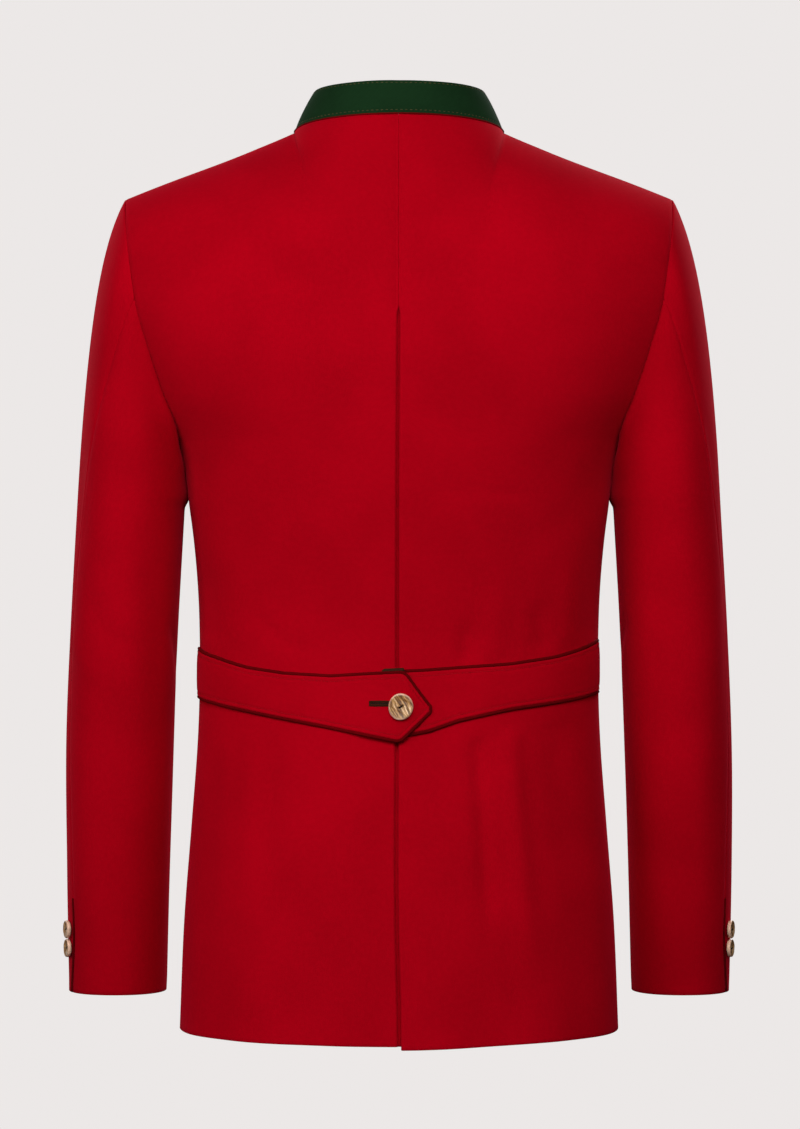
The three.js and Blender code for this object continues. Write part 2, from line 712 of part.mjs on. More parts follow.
function beltPiece(table, laps) {
  const top = linesThrough(table, "angle", "top");
  const bottom = linesThrough(table, "angle", "bottom");
  const columns = beltColumns(table).reverse();
  const grid = shares(BELT_ROWS).map((up) =>
    columns.map((degrees) => {
      const z = THREE.MathUtils.lerp(bottom(degrees), top(degrees), up);
      return overBack(degrees, z, beltHeight(degrees, laps)).point;
    }),
  );
  return wall(grid, BELT_CLOTH);
}

// A round cord along points that each carry the normal of what they lie on.
function cordAlong(stations, radius, sides) {
  const turns = range(sides).map((i) => (2 * Math.PI * i) / sides);
  const last = stations.length - 1;
  const points = stations.flatMap(({ point, normal }, i) => {
    const before = stations[Math.max(i - 1, 0)].point;
    const after = stations[Math.min(i + 1, last)].point;
    const along = after.clone().sub(before).normalize();
    const side = along.clone().cross(normal).normalize();
    const up = side.clone().cross(along);
    return turns.map((turn) =>
      point
        .clone()
        .addScaledVector(up, radius * Math.cos(turn))
        .addScaledVector(side, radius * Math.sin(turn)),
    );
  });
  const faces = [];
  for (let i = 0; i < last; i += 1) {
    for (let j = 0; j < sides; j += 1) {
      const next = (j + 1) % sides;
      const a = i * sides + j;
      const b = i * sides + next;
      faces.push(a, b, b + sides, a, b + sides, a + sides);
    }
  }
  const ends = [0, last].map((i) => points.push(stations[i].point.clone()) - 1);
  for (let j = 0; j < sides; j += 1) {
    const next = (j + 1) % sides;
    faces.push(ends[0], next, j);
    faces.push(ends[1], last * sides + j, last * sides + next);
  }
  return meshGeometry(points, faces);
}

// The piping runs along the top edge to the free end, round it and back along the bottom edge,
// square off the edge by its own radius and the seam gap. The piece that laps has a pointed end.
function beltPiping(table, laps) {
  const off = GAP + PIPING_RADIUS;
  const top = linesThrough(table, "angle", "top");
  const bottom = linesThrough(table, "angle", "bottom");
  const columns = beltColumns(table);
  const upper = [...columns].reverse().map((degrees) => ({ degrees, z: top(degrees) }));
  const lower = columns.map((degrees) => ({ degrees, z: bottom(degrees) }));
  const [first] = table;
  const blunt = laps ? [] : shares(BELT_ROWS).slice(1, -1);
  const end = blunt.map((t) => ({
    degrees: first.angle,
    z: THREE.MathUtils.lerp(first.top, first.bottom, t),
  }));
  const outline = [...upper, ...end, ...lower];
  const perDegree = overBack(1, top(1), 0).point.x;
  const stations = outline.map(({ degrees, z }, i) => {
    const before = outline[Math.max(i - 1, 0)];
    const after = outline[Math.min(i + 1, outline.length - 1)];
    const across = (after.degrees - before.degrees) * perDegree;
    const down = after.z - before.z;
    const length = Math.hypot(across, down);
    const atDegrees = degrees + (off * down) / length / perDegree;
    const atZ = z - (off * across) / length;
    return overBack(atDegrees, atZ, beltHeight(degrees, laps));
  });
  return cordAlong(stations, PIPING_RADIUS, 6);
}

// ---------- Cuff vents and buttons ----------
// A flat strip over the hind seam from the vent's top to the cuff.
function cuffEdging() {
  const lift = CLOTH / 2 + GAP + EDGING.thick / 2;
  const heights = shares(5).map((t) => THREE.MathUtils.lerp(CUFF_Z, VENT_TOP_Z, t));
  const grid = heights.map((z) => {
    const seam = sleeveRing(hindSeam(z), z);
    const before = sleeveRing(hindSeam(z) - 2, z);
    const along = seam.clone().sub(before).normalize();
    const out = vector(along.y, -along.x, 0);
    return [-0.5, 0.5].map((share) =>
      seam
        .clone()
        .addScaledVector(along, share * EDGING.width)
        .addScaledVector(out, lift),
    );
  });
  return wall(grid, EDGING.thick);
}

// A turned horn button with a shallow dish, standing on a surface along its normal.
function button({ radius, thick }, point, normal) {
  const profile = BUTTON_PROFILE.map(({ out, up }) => new THREE.Vector2(radius * out, thick * up));
  const geometry = new THREE.LatheGeometry(profile, BUTTON_SIDES);
  geometry.applyQuaternion(new THREE.Quaternion().setFromUnitVectors(vector(0, 1, 0), normal));
  geometry.translate(point.x, point.y, point.z);
  return geometry;
}

function beltButton() {
  const height = beltHeight(BELT_BUTTON.angle, true) + BELT_CLOTH / 2 + GAP;
  const { point, normal } = overBack(BELT_BUTTON.angle, BELT_BUTTON.z, height);
  return button(BELT_BUTTON, point, normal);
}

function cuffButtons() {
  return CUFF_BUTTON.heights.map((z) => {
    const point = sleeveRing(CUFF_BUTTON.angle, z);
    const before = sleeveRing(CUFF_BUTTON.angle - 1, z);
    const along = point.clone().sub(before).normalize();
    const normal = vector(along.y, -along.x, 0);
    return button(CUFF_BUTTON, point.addScaledVector(normal, CUFF_BUTTON_LIFT), normal);
  });
}

function frontButtons() {
  return range(FRONT_BUTTON.count).map((i) => {
    const z = FRONT_BUTTON.top - i * FRONT_BUTTON.pitch;
    const next = frontBase.findIndex((row) => row[0].z >= z);
    const below = frontBase[next - 1][0];
    const above = frontBase[next][0];
    const point = below.clone().lerp(above, (z - below.z) / (above.z - below.z));
    const normal = vector(0, below.z - above.z, above.y - below.y).normalize();
    return button(FRONT_BUTTON, point.addScaledVector(normal, FRONT_BUTTON_LIFT), normal);
  });
}

// ---------- The jacket ----------
const jacket = new THREE.Group();

function addPair(name, geometry, finish) {
  jacket.add(named(`${name}_left`, geometry, finish));
  jacket.add(named(`${name}_right`, mirrored(geometry), finish));
}

addPair("back", backPanel(), FINISH.cloth);
jacket.add(named("pleat_underlay", pleatUnderlay(), FINISH.underlay));
jacket.add(named("front_left", frontPanel(0), FINISH.cloth));
jacket.add(named("front_right", mirrored(frontPanel(LAP_SINK)), FINISH.cloth));
addPair("sleeve_top", topSleeve(), FINISH.cloth);
addPair("sleeve_under", underSleeve(), FINISH.cloth);
jacket.add(named("collar", collar(), FINISH.collar));
jacket.add(named("belt_left", beltPiece(BELT_LEFT, true), FINISH.cloth));
jacket.add(named("belt_right", mirrored(beltPiece(BELT_RIGHT, false)), FINISH.cloth));
jacket.add(named("belt_piping_left", beltPiping(BELT_LEFT, true), FINISH.piping));
jacket.add(named("belt_piping_right", mirrored(beltPiping(BELT_RIGHT, false)), FINISH.piping));
addPair("cuff_edging", cuffEdging(), FINISH.piping);
jacket.add(named("belt_button", beltButton(), FINISH.horn));
cuffButtons().forEach((geometry, i) => {
  jacket.add(named(`cuff_button_left_${i + 1}`, geometry, FINISH.horn));
  jacket.add(named(`cuff_button_right_${i + 1}`, mirrored(geometry), FINISH.horn));
});
frontButtons().forEach((geometry, i) => {
  jacket.add(named(`front_button_${i + 1}`, geometry, FINISH.horn));
});

export default jacket;
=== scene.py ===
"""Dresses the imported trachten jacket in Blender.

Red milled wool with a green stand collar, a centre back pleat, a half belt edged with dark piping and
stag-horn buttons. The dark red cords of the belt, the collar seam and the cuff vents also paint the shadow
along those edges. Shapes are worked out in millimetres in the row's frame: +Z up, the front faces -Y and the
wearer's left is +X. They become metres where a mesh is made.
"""

import logging
import math
from dataclasses import dataclass
from enum import Enum
from typing import Callable, Sequence

import bpy
import numpy as np
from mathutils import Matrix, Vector


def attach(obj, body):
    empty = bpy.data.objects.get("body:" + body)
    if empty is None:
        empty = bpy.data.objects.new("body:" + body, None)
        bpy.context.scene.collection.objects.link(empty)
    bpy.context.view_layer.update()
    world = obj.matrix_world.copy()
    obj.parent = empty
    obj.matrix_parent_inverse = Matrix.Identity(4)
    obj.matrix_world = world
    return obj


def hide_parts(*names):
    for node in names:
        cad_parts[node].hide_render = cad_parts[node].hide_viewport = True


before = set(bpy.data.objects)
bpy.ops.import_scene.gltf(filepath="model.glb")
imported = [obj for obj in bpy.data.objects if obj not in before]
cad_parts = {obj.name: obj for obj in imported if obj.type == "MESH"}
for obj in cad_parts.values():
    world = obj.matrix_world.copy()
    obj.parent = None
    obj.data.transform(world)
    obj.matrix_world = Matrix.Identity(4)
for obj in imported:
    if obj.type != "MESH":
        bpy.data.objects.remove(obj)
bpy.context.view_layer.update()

Array = np.ndarray
Curve = Callable[[Array], Array]
Span = Callable[[Array, Array], Array]
Colour = tuple[float, float, float]
Socket = bpy.types.NodeSocket
Node = bpy.types.Node
Material = bpy.types.Material
Piece = bpy.types.Object
log = logging.getLogger("jacket")

MM = 0.001
BODY = "root"

# ---------- Driving sizes, the same as the solids have ----------
GAP = 0.3
CLOTH = 2.0
HEM_Z = -725.5
HEM_DIP = 2.0
UNDERARM_Z = -252.0
YOKE_Z = -110.0
CUFF_Z = -700.0
BICEPS_Z = -300.0
SIDE_SEAM = 85.0  # degrees from the centre back
BELT_REACH = 160.0
RIM = 0.5  # how far the rounded edge of a wall stands past its grid
SEAM = RIM + 0.04  # from a seam line to the grid of the piece beside it
FLIP = np.array([-1.0, 1.0, 1.0])  # takes a point to the other side of the body
UP = np.array([0.0, 0.0, 1.0])


class Side(Enum):
    """Which of the wearer's sides a piece is on, as the sign of its x."""

    LEFT = 1
    RIGHT = -1

    @property
    def word(self) -> str:
        """The side as the nodes' names have it."""
        return self.name.lower()


class Half(Enum):
    """The back or the front half of the body, as the sign of its y."""

    BACK = 1
    FRONT = -1

    @property
    def centre(self) -> float:
        """Degrees from the centre back to the half's own centre line."""
        return 0.0 if self is Half.BACK else 180.0


# ---------- Small mathematics on whole arrays ----------
def smooth(t: Array | float) -> Array:
    """Eases from 0 to 1 as t goes from 0 to 1: three t squared less two t cubed."""
    t = np.clip(t, 0.0, 1.0)
    return t * t * (3.0 - 2.0 * t)


def lerp(start: Array | float, end: Array | float, t: Array | float) -> Array:
    """The straight mix of two values: start where t is 0, end where it is 1."""
    return start + (end - start) * t


def bell(x: Array) -> Array:
    """A smooth bump of height 1 round 0: e to the minus x squared."""
    return np.exp(-x * x)


def length(vectors: Array) -> Array:
    """The length of each vector, with its last axis kept."""
    return np.linalg.norm(vectors, axis=-1, keepdims=True)


def unit(vectors: Array) -> Array:
    """Each vector divided by its own length."""
    return vectors / np.maximum(length(vectors), 1e-9)


def points(x: Array | float, y: Array | float, z: Array | float) -> Array:
    """Joins three coordinate arrays, broadcast together, into one array of points."""
    return np.stack(np.broadcast_arrays(x, y, z), axis=-1).astype(float)


def hermite(start: Array, leave: Array, end: Array, arrive: Array, t: Array) -> Array:
    """The cubic that starts and ends at two values with the given slopes there.

    Args:
        start: Value where t is 0.
        leave: Slope where t is 0.
        end: Value where t is 1.
        arrive: Slope where t is 1.
        t: Share of the way from start to end.

    Returns:
        The values at t.
    """
    t2 = t * t
    t3 = t2 * t
    first = start * (2 * t3 - 3 * t2 + 1) + leave * (t3 - 2 * t2 + t)
    return first + end * (3 * t2 - 2 * t3) + arrive * (t3 - t2)


def curve_through(at: Sequence[float], value: Sequence[float]) -> Curve:
    """A smooth curve through table rows; a row's slope is its neighbours' chord.

    Args:
        at: Where the rows are, in rising order.
        value: What each row holds.

    Returns:
        A function that reads the curve at an array of places.
    """
    xs = np.asarray(at, float)
    ys = np.asarray(value, float)
    order = np.arange(len(xs))
    before = np.maximum(order - 1, 0)
    after = np.minimum(order + 1, len(xs) - 1)
    slope = (ys[after] - ys[before]) / (xs[after] - xs[before])

    def read(wanted: Array) -> Array:
        """Reads the curve, held at its end values outside the table.

        Args:
            wanted: Where to read.

        Returns:
            The values there.
        """
        x = np.clip(wanted, xs[0], xs[-1])
        upper = np.clip(np.searchsorted(xs, x), 1, len(xs) - 1)
        lower = upper - 1
        step = xs[upper] - xs[lower]
        t = (x - xs[lower]) / step
        return hermite(ys[lower], slope[lower] * step, ys[upper], slope[upper] * step, t)

    return read


def lines_through(at: Sequence[float], value: Sequence[float], ease: float = 1.0) -> Curve:
    """Straight lines through table rows, with every corner rounded.

    Args:
        at: Where the rows are, in rising order.
        value: What each row holds.
        ease: Half the width over which the line is averaged.

    Returns:
        A function that reads the line as its mean over that width.
    """
    offsets = np.linspace(-ease, ease, 9)

    def read(wanted: Array) -> Array:
        """Reads the mean of the line at nine places round each wanted one."""
        spread = np.asarray(wanted, float)[..., None] + offsets
        return np.interp(spread, at, value).mean(axis=-1)

    return read


def grid_normals(grid: Array) -> Array:
    """Unit normals of a grid: the cross product of its row and column directions.

    Args:
        grid: Points by row and column.

    Returns:
        A normal for each point.
    """
    along = np.gradient(grid, axis=1)
    up = np.gradient(grid, axis=0)
    return unit(np.cross(along, up))


def sample(grid: Array, row: Array, column: Array) -> Array:
    """Reads a grid between its points, in proportion to the four that lie round each place.

    Args:
        grid: Values by row and column, with any further axes.
        row: Row places, whole or not.
        column: Column places, whole or not.

    Returns:
        The values there, in the shape of row and column broadcast together.
    """
    row, column = np.broadcast_arrays(np.asarray(row, float), np.asarray(column, float))
    i = np.clip(np.floor(row).astype(int), 0, grid.shape[0] - 2)
    j = np.clip(np.floor(column).astype(int), 0, grid.shape[1] - 2)
    u = (row - i)[..., None]
    v = (column - j)[..., None]
    lower = lerp(grid[i, j], grid[i, j + 1], v)
    upper = lerp(grid[i + 1, j], grid[i + 1, j + 1], v)
    return lerp(lower, upper, u)


def at_distance(grid: Array, x: Array) -> Array:
    """Places along each row of a grid, as column numbers, where x reaches a distance.

    Args:
        grid: Points by row and column, with x rising along every row.
        x: Wanted distances, a row of them for each row of the grid.

    Returns:
        Column numbers, whole or not, in the shape of x.
    """
    reached = (grid[:, None, :, 0] < x[:, :, None]).sum(axis=2)
    upper = np.clip(reached, 1, grid.shape[1] - 1)
    rows = np.arange(len(grid))[:, None]
    low = grid[rows, upper - 1, 0]
    high = grid[rows, upper, 0]
    return upper - 1 + (x - low) / (high - low)


# ---------- Creases ----------
@dataclass(frozen=True)
class Crease:
    """A soft trough or ridge of the cloth, in its panel's own two directions, in millimetres.

    Attributes:
        start: Across and up where it begins.
        end: Across and up where it ends.
        depth: How far it stands out, or in where it is negative.
        width: Half its width.
        bow: How far its middle swings aside.
        fade: Share of its length over which it fades out past each end.
    """

    start: tuple[float, float]
    end: tuple[float, float]
    depth: float
    width: float
    bow: float = 0.0
    fade: float = 0.28

    def height(self, across: Array, up: Array) -> Array:
        """A bell across a bowed line, which fades out past both of the line's ends.

        Args:
            across: Where each point lies across the panel.
            up: Where each point lies up the panel.

        Returns:
            How far the crease moves each point out.
        """
        run = np.subtract(self.end, self.start)
        reach = float(np.hypot(*run))
        du = across - self.start[0]
        dv = up - self.start[1]
        t = (du * run[0] + dv * run[1]) / reach**2
        aside = (du * run[1] - dv * run[0]) / reach - self.bow * 4.0 * t * (1.0 - t)
        window = smooth((t + self.fade) / (2 * self.fade)) * smooth((1 + self.fade - t) / (2 * self.fade))
        return self.depth * bell(aside / self.width) * window


@dataclass(frozen=True)
class Relief:
    """All that moves a panel's cloth off its plain form: its creases and a faint unevenness.

    Attributes:
        creases: Troughs and ridges, listed one by one.
        swell: Height of the unevenness.
        seed: Seed of the unevenness's waves.
        waves: Their lengths, the longest first.
        turn: How far the waves may turn aside, in radians.
        squash: How much less they follow the way up than the way across.
    """

    creases: tuple[Crease, ...] = ()
    swell: float = 0.35
    seed: int = 1
    waves: tuple[float, ...] = (190.0, 140.0, 105.0, 80.0, 62.0)
    turn: float = 0.9
    squash: float = 0.55

    def height(self, across: Array, up: Array) -> Array:
        """The creases added up, with five long sine waves of seeded direction and phase.

        Args:
            across: Where each point lies across the panel.
            up: Where each point lies up the panel.

        Returns:
            How far each point moves out.
        """
        total = np.zeros(np.broadcast(across, up).shape)
        for crease in self.creases:
            total = total + crease.height(across, up)
        draw = np.random.default_rng(self.seed)
        for wave in self.waves:
            turn = draw.uniform(-self.turn, self.turn)
            phase = draw.uniform(0.0, 2.0 * math.pi)
            place = across * math.cos(turn) + up * math.sin(turn) * self.squash
            high = self.swell * (wave / self.waves[0])
            total = total + high * np.sin(place * 2 * math.pi / wave + phase) / 2
        return total


# ---------- The body's form ----------
@dataclass(frozen=True)
class BodyForm:
    """Level sections of the body: superellipses whose two halves share the widest line.

    Attributes:
        heights: Height of each section, from hem to yoke.
        half: Half width at the widest line.
        back: Depth of the centre back.
        front: Depth of the centre front.
        side: Depth of the widest line.
        back_fullness: Squareness of the back half, where 2 is an ellipse.
        front_fullness: Squareness of the front half.
        furrows: Angle, depth, width and upper end of each furrow of the skirt.
    """

    heights: tuple[float, ...] = (-728, -640, -560, -490, -430, -370, -310, -252, -213, -182, -147, -110)
    half: tuple[float, ...] = (177, 173.5, 167.5, 162.5, 161, 162.5, 168.5, 179.5, 208, 224, 236, 240)
    back: tuple[float, ...] = (129, 125, 118, 109, 105, 108, 116, 123, 126, 128, 127, 122)
    front: tuple[float, ...] = (-128, -128, -128, -128, -127, -129, -135, -140, -141, -139, -134, -123)
    side: tuple[float, ...] = (-2, -4, -6, -8, -8, -8, -8, -8, -8, -8, -8, -8)
    back_fullness: float = 2.5
    front_fullness: float = 2.4
    furrows: tuple[tuple[float, ...], ...] = ((30, -1.8, 8, -540), (58, -2.4, 8, -500), (128, -2.4, 9, -520))

    def point(self, degrees: Array, z: Array) -> Array:
        """Points at angles from the centre back: radius is (|sin/half|^n + |cos/depth|^n)^(-1/n).

        Args:
            degrees: Angles from the centre back, 0 to 180.
            z: Heights.

        Returns:
            The points on the wearer's left.
        """
        sin = np.sin(np.radians(degrees))
        cos = np.cos(np.radians(degrees))
        side = curve_through(self.heights, self.side)(z)
        back = curve_through(self.heights, self.back)(z) - side
        front = side - curve_through(self.heights, self.front)(z)
        depth = np.where(cos > 0, back, front)
        fullness = np.where(cos > 0, self.back_fullness, self.front_fullness)
        across = np.abs(sin / curve_through(self.heights, self.half)(z)) ** fullness
        along = np.abs(cos / depth) ** fullness
        radius = (across + along) ** (-1.0 / fullness) + self.drape(degrees, z)
        return points(radius * sin, side + radius * cos, z)

    def drape(self, degrees: Array, z: Array) -> Array:
        """The furrows that the solids have too: bells round the body, deepest at the hem.

        Args:
            degrees: Angles from the centre back.
            z: Heights.

        Returns:
            How far out each point moves, less than 0 for in.
        """
        total = np.zeros(np.broadcast(degrees, z).shape)
        for angle, depth, width, high in self.furrows:
            down = smooth((high - z) / (high - HEM_Z))
            total = total + depth * down * bell((degrees - angle) / width)
        return total


@dataclass(frozen=True)
class NeckForm:
    """The neckline, an oval that drops to the front, and the shoulder seams out of it.

    Attributes:
        half: Half width of the neckline.
        side: Depth of its widest line.
        back: How far it runs back from there.
        front: How far it runs forward.
        rise: How far the centre back rises.
        drop: How far the centre front drops.
        tip: The shoulder seam's outer end.
        hollow: How far the seam sags below a straight line.
    """

    half: float = 84.0
    side: float = -2.0
    back: float = 74.0
    front: float = 90.0
    rise: float = 8.0
    drop: float = 64.0
    tip: tuple[float, float, float] = (221.0, -8.0, -54.0)
    hollow: float = 1.2

    def point(self, degrees: Array) -> Array:
        """The neckline: an oval in plan; its height is rise times cos, less drop times its square.

        Args:
            degrees: Angles from the centre back, 0 to 180.

        Returns:
            The points on the wearer's left.
        """
        sin = np.sin(np.radians(degrees))
        cos = np.cos(np.radians(degrees))
        depth = np.where(cos > 0, self.back, self.front)
        z = self.rise * cos - self.drop * np.maximum(-cos, 0.0) ** 2
        return points(self.half * sin, self.side + depth * cos, z)

    def shoulder(self, t: Array) -> Array:
        """The shoulder seam: a straight line that sags by a skewed sine, most near the neck.

        Args:
            t: Shares of the way from the neck to the tip.

        Returns:
            The points on the wearer's left.
        """
        t = np.asarray(t, float)[..., None]
        line = lerp(self.point(np.array(90.0)), np.array(self.tip), t)
        sag = self.hollow * np.sin(np.pi * t) * (1.0 + np.cos(np.pi * t))
        return line - sag * UP


@dataclass(frozen=True)
class Panel:
    """One half of the back or of the front, as rows of points from its centre line outwards.

    Attributes:
        half: Which half of the body it is.
        centre: Centre heights of the rows that end on the armhole.
        edge: Heights of those rows' ends.
        angle: Angles of those rows' ends.
        relief: What moves the cloth off its plain form.
        columns: Steps across.
        rows: Steps up the skirt, the armhole and the yoke.
        neck_share: Share of the columns that end on the neckline.
        edge_calm: Share of the columns over which the relief fades out at the edge.
        centre_calm: Share over which the back's fades out at the centre.
        top_calm: Share of the yoke over which it fades out at the top.
        body: The body's form.
        neck: The neckline's form.
    """

    half: Half
    centre: tuple[float, ...]
    edge: tuple[float, ...]
    angle: tuple[float, ...]
    relief: Relief = Relief()
    columns: int = 60
    rows: tuple[int, int, int] = (150, 60, 36)
    neck_share: float = 0.4
    edge_calm: float = 0.06
    centre_calm: float = 0.05
    top_calm: float = 0.5
    body: BodyForm = BodyForm()
    neck: NeckForm = NeckForm()

    @property
    def shares(self) -> Array:
        """Where the columns lie: 0 on the centre line and 1 at the edge."""
        return np.linspace(0.0, 1.0, self.columns + 1)

    def row(self, centre: Array, edge: Array, angle: Array) -> Array:
        """Rows of the body: the angle goes evenly to the edge while the height eases to its own.

        Args:
            centre: Height of each row's first point.
            edge: Height of its last one.
            angle: Angle of its last one.

        Returns:
            Points by row and column.
        """
        share = self.shares[None, :]
        z = lerp(centre[:, None], edge[:, None], smooth(share))
        return self.body.point(lerp(self.half.centre, angle[:, None], share), z)

    def top_edge(self) -> Array:
        """Where the columns end: on the neckline first, then along the shoulder seam.

        Returns:
            A point for each column.
        """
        share = self.shares
        on_neck = np.minimum(share / self.neck_share, 1.0)
        neck = self.neck.point(lerp(self.half.centre, 90.0, on_neck))
        shoulder = self.neck.shoulder((share - self.neck_share) / (1.0 - self.neck_share))
        return np.where((share <= self.neck_share)[:, None], neck, shoulder)

    def top_direction(self) -> Array:
        """Which way the cloth runs at the top edge: up the neck, easing to level at the shoulder.

        Returns:
            A unit vector for each column.
        """
        steep = [0.0, -0.6, 0.8] if self.half is Half.BACK else [0.0, 0.7, 0.72]
        level = np.array([0.0, -float(self.half.value), 0.0])
        t = smooth(self.shares / (self.neck_share * 1.375))[:, None]
        return unit(lerp(np.array(steep), level, t))

    def plain_grid(self) -> Array:
        """The panel without its relief.

        Returns:
            Points by row, from the hem up, and column, from the centre line outwards.
        """
        skirt, chest, yoke = self.rows
        up = np.linspace(0.0, 1.0, skirt, endpoint=False)
        edge = lerp(HEM_Z, UNDERARM_Z, up)
        lower = self.row(edge - HEM_DIP * (1.0 - up), edge, np.full(skirt, SIDE_SEAM))
        centre = np.linspace(UNDERARM_Z, YOKE_Z, chest)
        heights = curve_through(self.centre, self.edge)(centre)
        middle = self.row(centre, heights, curve_through(self.centre, self.angle)(centre))
        below = self.row(*(np.array(values[-2:-1]) for values in (self.centre, self.edge, self.angle)))
        start = middle[-1]
        end = self.top_edge()
        chord = length(end - start)
        leave = unit(start - below[0]) * chord
        arrive = self.top_direction() * chord
        t = np.linspace(0.0, 1.0, yoke + 1)[1:, None, None]
        upper = hermite(start, leave, end, arrive, t)
        return np.concatenate([lower, middle, upper])

    def outward(self, grid: Array) -> Array:
        """Normals that face out of the body; those of the centre line have no x.

        Args:
            grid: Points of the panel.

        Returns:
            A normal for each point.
        """
        normals = grid_normals(grid) * -float(self.half.value)
        normals[:, 0, 0] = 0.0
        return unit(normals)

    def grid(self) -> Array:
        """The panel with its relief, which fades out at the seams and under the half belt.

        Returns:
            Points by row, from the hem up, and column, from the centre line outwards.
        """
        plain = self.plain_grid()
        share = self.shares[None, :]
        height = self.relief.height(plain[..., 0], plain[..., 2])
        top = np.linspace(float(len(plain) - 1), 0.0, len(plain))[:, None] / self.rows[2]
        calm = smooth((1.0 - share) / self.edge_calm) * smooth(top / self.top_calm)
        if self.half is Half.BACK:
            calm = calm * (1.0 - belt_zone(plain)) * smooth(share / self.centre_calm)
        return plain + self.outward(plain) * (height * calm)[..., None]


def belt_zone(grid: Array) -> Array:
    """1 where the half belt presses on the back and 0 away from it, easing over a few millimetres.

    Args:
        grid: Points of the back.

    Returns:
        The zone's strength: its middle rises from the centre to the side as its width shrinks.
    """
    centre_z, side_rise, half_width, taper, ease = -461.0, 24.0, 26.0, 4.0, 14.0
    aside = np.abs(grid[..., 0] / BELT_REACH)
    middle = centre_z + side_rise * aside**1.6
    reach = half_width - taper * aside
    return 1.0 - smooth((np.abs(grid[..., 2] - middle) - reach) / ease)


# ---------- Meshes ----------
@dataclass
class Skin:
    """A mesh as arrays.

    Attributes:
        points: Its points, in millimetres.
        faces: Arrays of faces, each with one number of corners.
        places: Where each point lies in the piece's own plane, in millimetres.
    """

    points: Array
    faces: list[Array]
    places: Array

    def mirrored(self, side: Side) -> "Skin":
        """The same mesh on the given side: x changes sign and the faces turn round.

        Args:
            side: The side that it is for.

        Returns:
            The mesh on that side.
        """
        if side is Side.LEFT:
            return self
        return Skin(self.points * FLIP, [faces[:, ::-1] for faces in self.faces], self.places)

    @staticmethod
    def joined(skins: Sequence["Skin"]) -> "Skin":
        """Several meshes as one: each one's faces count on from the points before it.

        Args:
            skins: The meshes.

        Returns:
            One mesh of them all.
        """
        starts = np.cumsum([0] + [len(skin.points) for skin in skins[:-1]])
        faces = [part + start for skin, start in zip(skins, starts) for part in skin.faces]
        joined_points = np.concatenate([skin.points for skin in skins])
        return Skin(joined_points, faces, np.concatenate([skin.places for skin in skins]))


def run_lengths(grid: Array, axis: int) -> Array:
    """The distance run along one axis of a grid up to each point: the steps' lengths added up.

    Args:
        grid: Points by row and column.
        axis: 0 to run up the columns, 1 to run along the rows.

    Returns:
        The distances, one for each point.
    """
    steps = np.linalg.norm(np.diff(grid, axis=axis), axis=-1)
    start = np.zeros_like(np.take(steps, [0], axis=axis))
    return np.concatenate([start, np.cumsum(steps, axis=axis)], axis=axis)


def shell(grid: Array, thickness: Array | float, rim: float = RIM) -> Skin:
    """A closed wall: the grid moved out and in by half its thickness along its normals.

    The rounded edge is half an ellipse: edge point plus out times rim times sin a, plus normal
    times half the thickness times cos a, for a from 0 to half a turn. Columns run anticlockwise
    seen from outside with the rows going up, so that the normals face out.

    Args:
        grid: Points of the wall's middle by row and column.
        thickness: The wall's thickness, alike everywhere or for each point.
        rim: How far the rounded edge stands out past the grid.

    Returns:
        The closed mesh.
    """
    rows, columns = grid.shape[:2]
    normals = grid_normals(grid)
    half = np.broadcast_to(thickness, (rows, columns))[..., None] / 2.0
    number = np.arange(rows * columns).reshape(rows, columns)
    corners = [number[:-1, :-1], number[:-1, 1:], number[1:, 1:], number[1:, :-1]]
    outer_faces = np.stack(corners, axis=-1).reshape(-1, 4)
    inner_faces = outer_faces[:, ::-1] + rows * columns
    border = np.concatenate([number[0, :-1], number[:-1, -1], number[-1, :0:-1], number[:0:-1, 0]])
    edge = grid.reshape(-1, 3)[border]
    normal = normals.reshape(-1, 3)[border]
    reach = half.reshape(-1, 1)[border]
    along = unit(np.roll(edge, -1, axis=0) - np.roll(edge, 1, axis=0))
    out = unit(np.cross(along, normal))
    turns = np.radians([35.0, 65.0, 90.0, 115.0, 145.0])[:, None, None]
    rings = edge + out * (rim * np.sin(turns)) + normal * (reach * np.cos(turns))
    first = 2 * rows * columns
    ring_numbers = first + np.arange(rings.shape[0] * len(border)).reshape(-1, len(border))
    chain = np.concatenate([border[None], ring_numbers, border[None] + rows * columns])
    upper = chain[:-1]
    lower = chain[1:]
    after = [np.roll(upper, -1, axis=1), upper, lower, np.roll(lower, -1, axis=1)]
    rim_faces = np.stack(after, axis=-1).reshape(-1, 4)
    places = np.stack([run_lengths(grid, 1), run_lengths(grid, 0)], axis=-1).reshape(-1, 2)
    rim_places = np.tile(places[border], (rings.shape[0], 1))
    layers = [(grid + normals * half).reshape(-1, 3), (grid - normals * half).reshape(-1, 3)]
    return Skin(
        np.concatenate([*layers, rings.reshape(-1, 3)]),
        [np.concatenate([outer_faces, inner_faces, rim_faces])],
        np.concatenate([places, places, rim_places]),
    )


def ring_faces(rings: int, sides: int) -> list[Array]:
    """Faces of stacked rings whose first and last ring close on two poles that follow them.

    Args:
        rings: Number of rings.
        sides: Points in each.

    Returns:
        The quads and the two fans.
    """
    number = np.arange(rings * sides).reshape(rings, sides)
    following = np.roll(number, -1, axis=1)
    quads = np.stack([number[:-1], number[1:], following[1:], following[:-1]], axis=-1).reshape(-1, 4)
    first = np.stack([np.full(sides, rings * sides), number[0], following[0]], axis=-1)
    last = np.stack([np.full(sides, rings * sides + 1), following[-1], number[-1]], axis=-1)
    return [quads, first, last]


